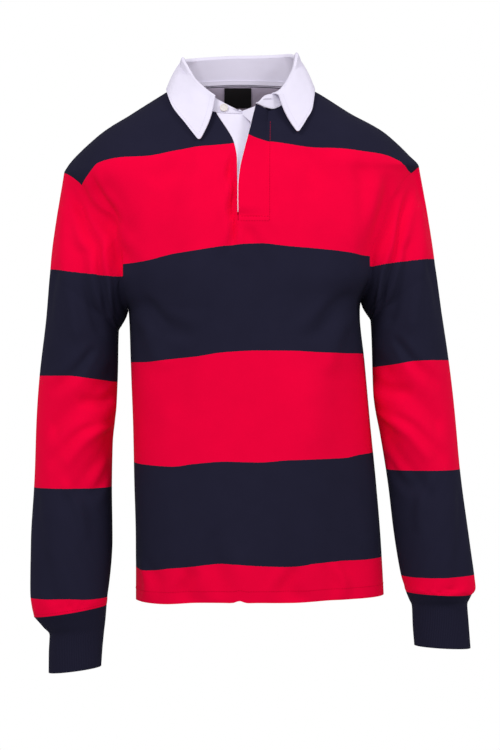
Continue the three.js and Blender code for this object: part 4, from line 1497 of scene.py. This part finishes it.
class MakeStitching(bpy.types.Operator):
    """Sew the rows of stitches along hem, cuffs, placket, collar and neck"""

    bl_idname = "shirt.make_stitching"
    bl_label = "Stitching"

    def execute(self, context):
        hem = context.scene.shirt_sizes.hem / MM
        for name, side in (("front", -1), ("back", 1)):
            angle = np.linspace(-0.995, 0.995, 400)
            base = mix(HEM["right"], HEM["left"], (angle + 1) / 2)
            height = base + hem
            x = at_side_angle(angle, height)
            if side < 0:
                height = height - hem_drop(x) * 0.6
            path = on_body(x, height, side, 0.1)
            stitch_row(f"Hem_stitches_{name}", path, off_body(x, height, side), RED_ON_JERSEY)
        for name in ("right", "left"):
            rings, _ = sleeve_grid(name)
            middle = rings.mean(axis=1, keepdims=True)
            off = rings - inside(rings, 1, True, middle)
            row = len(rings) - 3
            stitch_row(f"Cuff_seam_stitches_{name}", closed(rings[row]), closed(off[row]), RED_ON_JERSEY)
        fall = moved(fall_grid(), TWILL)
        off = moved(fall, 1) - fall
        low, side = FALL_ROWS + ROLL["rows"] - 2, 4
        rows = [*range(ROLL["rows"] + 1, low), *[low] * (COLLAR_COLUMNS + 1 - 2 * side)]
        columns = [side] * (low - ROLL["rows"] - 1) + list(range(side, COLLAR_COLUMNS + 1 - side))
        rows += list(range(low, ROLL["rows"] + 1, -1))
        columns += [COLLAR_COLUMNS - side] * (low - ROLL["rows"] - 1)
        path = fall[rows, columns]
        stitch_row("Fall_stitches", path, off[rows, columns], WHITE_ON_TWILL, COLLAR_STITCH)
        stand = whole_stand()
        off = stand - inside(stand, 1)
        for row in (1, STAND_ROWS - 1):
            path = stand[row, 3:COLLAR_COLUMNS - 3]
            normal = off[row, 3:COLLAR_COLUMNS - 3]
            stitch_row(f"Stand_stitches_{row}", path, normal, WHITE_ON_TWILL, COLLAR_STITCH)
        angle = np.linspace(0, 2 * math.pi, 60)
        turn = BUTTONHOLE["turn"] + BUTTONHOLE["half"] * np.cos(angle)
        up = BUTTONHOLE["up"] + BUTTONHOLE["open"] * np.sin(angle)
        hole = stand_point(turn, up, ROLL["drop"])
        stitch_row("Buttonhole_stitches", hole, (0.3, -1, 0.15), WHITE_ON_TWILL, DENSE_STITCH, -0.2)
        tape = tape_grid(10)
        lining = inside(tape, THIN_CLOTH)
        for row in (1, 9):
            normal = lining[row] - tape[row]
            stitch_row(f"Tape_stitches_{row}", lining[row], normal, WHITE_ON_TWILL, COLLAR_STITCH)
        foot = OVER["bottom"] - PLACKET_ROWS["foot"]
        heights = np.linspace(-60, foot, 80)
        rows = {
            "side": (read(SLIT, "height", "left", heights) + PLACKET_ROWS["side"], heights),
            "foot": (np.linspace(0, 38, 40), np.full(40, foot)),
            "box": (np.linspace(1, 38, 40), np.full(40, OVER["bottom"] - PLACKET_ROWS["box"])),
            "tack": (np.full(12, -2.6), np.linspace(*PLACKET_ROWS["tack"], 12)),
        }
        for name, (x, height) in rows.items():
            lift = np.where((x < 36) & (height > OVER["bottom"]), np.maximum(sewn_lift(x, height), 0), 0)
            stitches = on_body(x, height, -1, lift + 0.1)
            size = DENSE_STITCH if name == "tack" else STITCH
            stitch_row(f"Placket_stitches_{name}", stitches, off_body(x, height, -1), RED_ON_JERSEY, size)
        return {"FINISHED"}


class MakeStage(bpy.types.Operator):
    """Set the camera, the pale floor and the soft studio light"""

    bl_idname = "shirt.make_stage"
    bl_label = "Stage"

    def execute(self, context):
        scene = context.scene
        camera = bpy.data.cameras.new("Camera")
        camera.lens = CAMERA["lens"]
        camera.sensor_width = CAMERA["sensor"]
        eye = bpy.data.objects.new("Camera", camera)
        eye.location = CAMERA["place"]
        eye.rotation_euler = (math.radians(90), 0, 0)
        scene.collection.objects.link(eye)
        scene.camera = eye
        half = FLOOR["half"]
        corners = [(-half, -half), (half, -half), (half, half), (-half, half)]
        floor = new_mesh("Floor", [(x, y, FLOOR["height"]) for x, y in corners], [(0, 1, 2, 3)])
        pale = Finish("Pale floor", {"Roughness": 0.9, "Specular IOR Level": 0.1})
        place = pale.add("ShaderNodeTexCoord", {}, {}, "Object")
        cloud = pale.noise(place, 0.8, 2.0, 0.5)
        pale.feed("Base Color", pale.blend(cloud, (0.93, 0.93, 0.94, 1), (0.9, 0.9, 0.91, 1)))
        away = pale.add("ShaderNodeVectorMath", {"operation": "LENGTH"}, {0: place}, "Value")
        pale.feed("Alpha", (1.0 - (away - FLOOR["solid"] * MM) / (FLOOR["fade"] * MM)).clamped())
        floor.data.materials.append(pale.material)
        world = bpy.data.worlds.new("Studio")
        world.use_nodes = True
        tree = world.node_tree
        sky = tree.nodes["Background"]
        sky.inputs["Color"].default_value = (1.0, 1.0, 1.0, 1.0)
        rays = tree.nodes.new("ShaderNodeLightPath")
        level = tree.nodes.new("ShaderNodeMapRange")
        level.inputs["To Min"].default_value = SOFT_LIGHT
        tree.links.new(rays.outputs["Is Camera Ray"], level.inputs["Value"])
        tree.links.new(level.outputs["Result"], sky.inputs["Strength"])
        scene.world = world
        for name, (place, power) in LAMPS.items():
            lamp = bpy.data.lights.new(name, "AREA")
            lamp.size = LAMP["size"]
            lamp.energy = power
            lamp.spread = math.radians(LAMP["spread"])
            holder = bpy.data.objects.new(name, lamp)
            holder.location = place
            aim = np.array(LAMP["aim"]) - np.array(place)
            flat = math.hypot(aim[0], aim[1])
            holder.rotation_euler = (math.atan2(flat, -aim[2]), 0, math.atan2(-aim[0], aim[1]))
            scene.collection.objects.link(holder)
        scene.view_settings.view_transform = "Standard"
        return {"FINISHED"}


class ShirtPanel(bpy.types.Panel):
    bl_idname = "VIEW3D_PT_shirt"
    bl_label = "Rugby shirt"
    bl_space_type = "VIEW_3D"
    bl_region_type = "UI"
    bl_category = "Shirt"

    def draw(self, context):
        layout = self.layout
        for group in (context.scene.shirt_sizes, context.scene.shirt_colours):
            for name in group.bl_rna.properties.keys():
                if name not in ("rna_type", "name"):
                    layout.prop(group, name)
        for operator in OPERATORS:
            layout.operator(operator.bl_idname)


OPERATORS = (
    MakeStage,
    MakePanels,
    MakeSleeves,
    MakeCollar,
    MakePlacket,
    MakeNeckInside,
    MakeButtons,
    MakeStitching,
)
CLASSES = (ShirtSizes, ShirtColours, *OPERATORS, ShirtPanel)


def register():
    for cls in CLASSES:
        bpy.utils.register_class(cls)
    bpy.types.Scene.shirt_sizes = bpy.props.PointerProperty(type=ShirtSizes)
    bpy.types.Scene.shirt_colours = bpy.props.PointerProperty(type=ShirtColours)


def unregister():
    del bpy.types.Scene.shirt_colours
    del bpy.types.Scene.shirt_sizes
    for cls in reversed(CLASSES):
        bpy.utils.unregister_class(cls)


def main():
    register()
    for operator in OPERATORS:
        group, name = operator.bl_idname.split(".")
        getattr(getattr(bpy.ops, group), name)()
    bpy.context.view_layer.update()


if __name__ == "__main__":
    main()
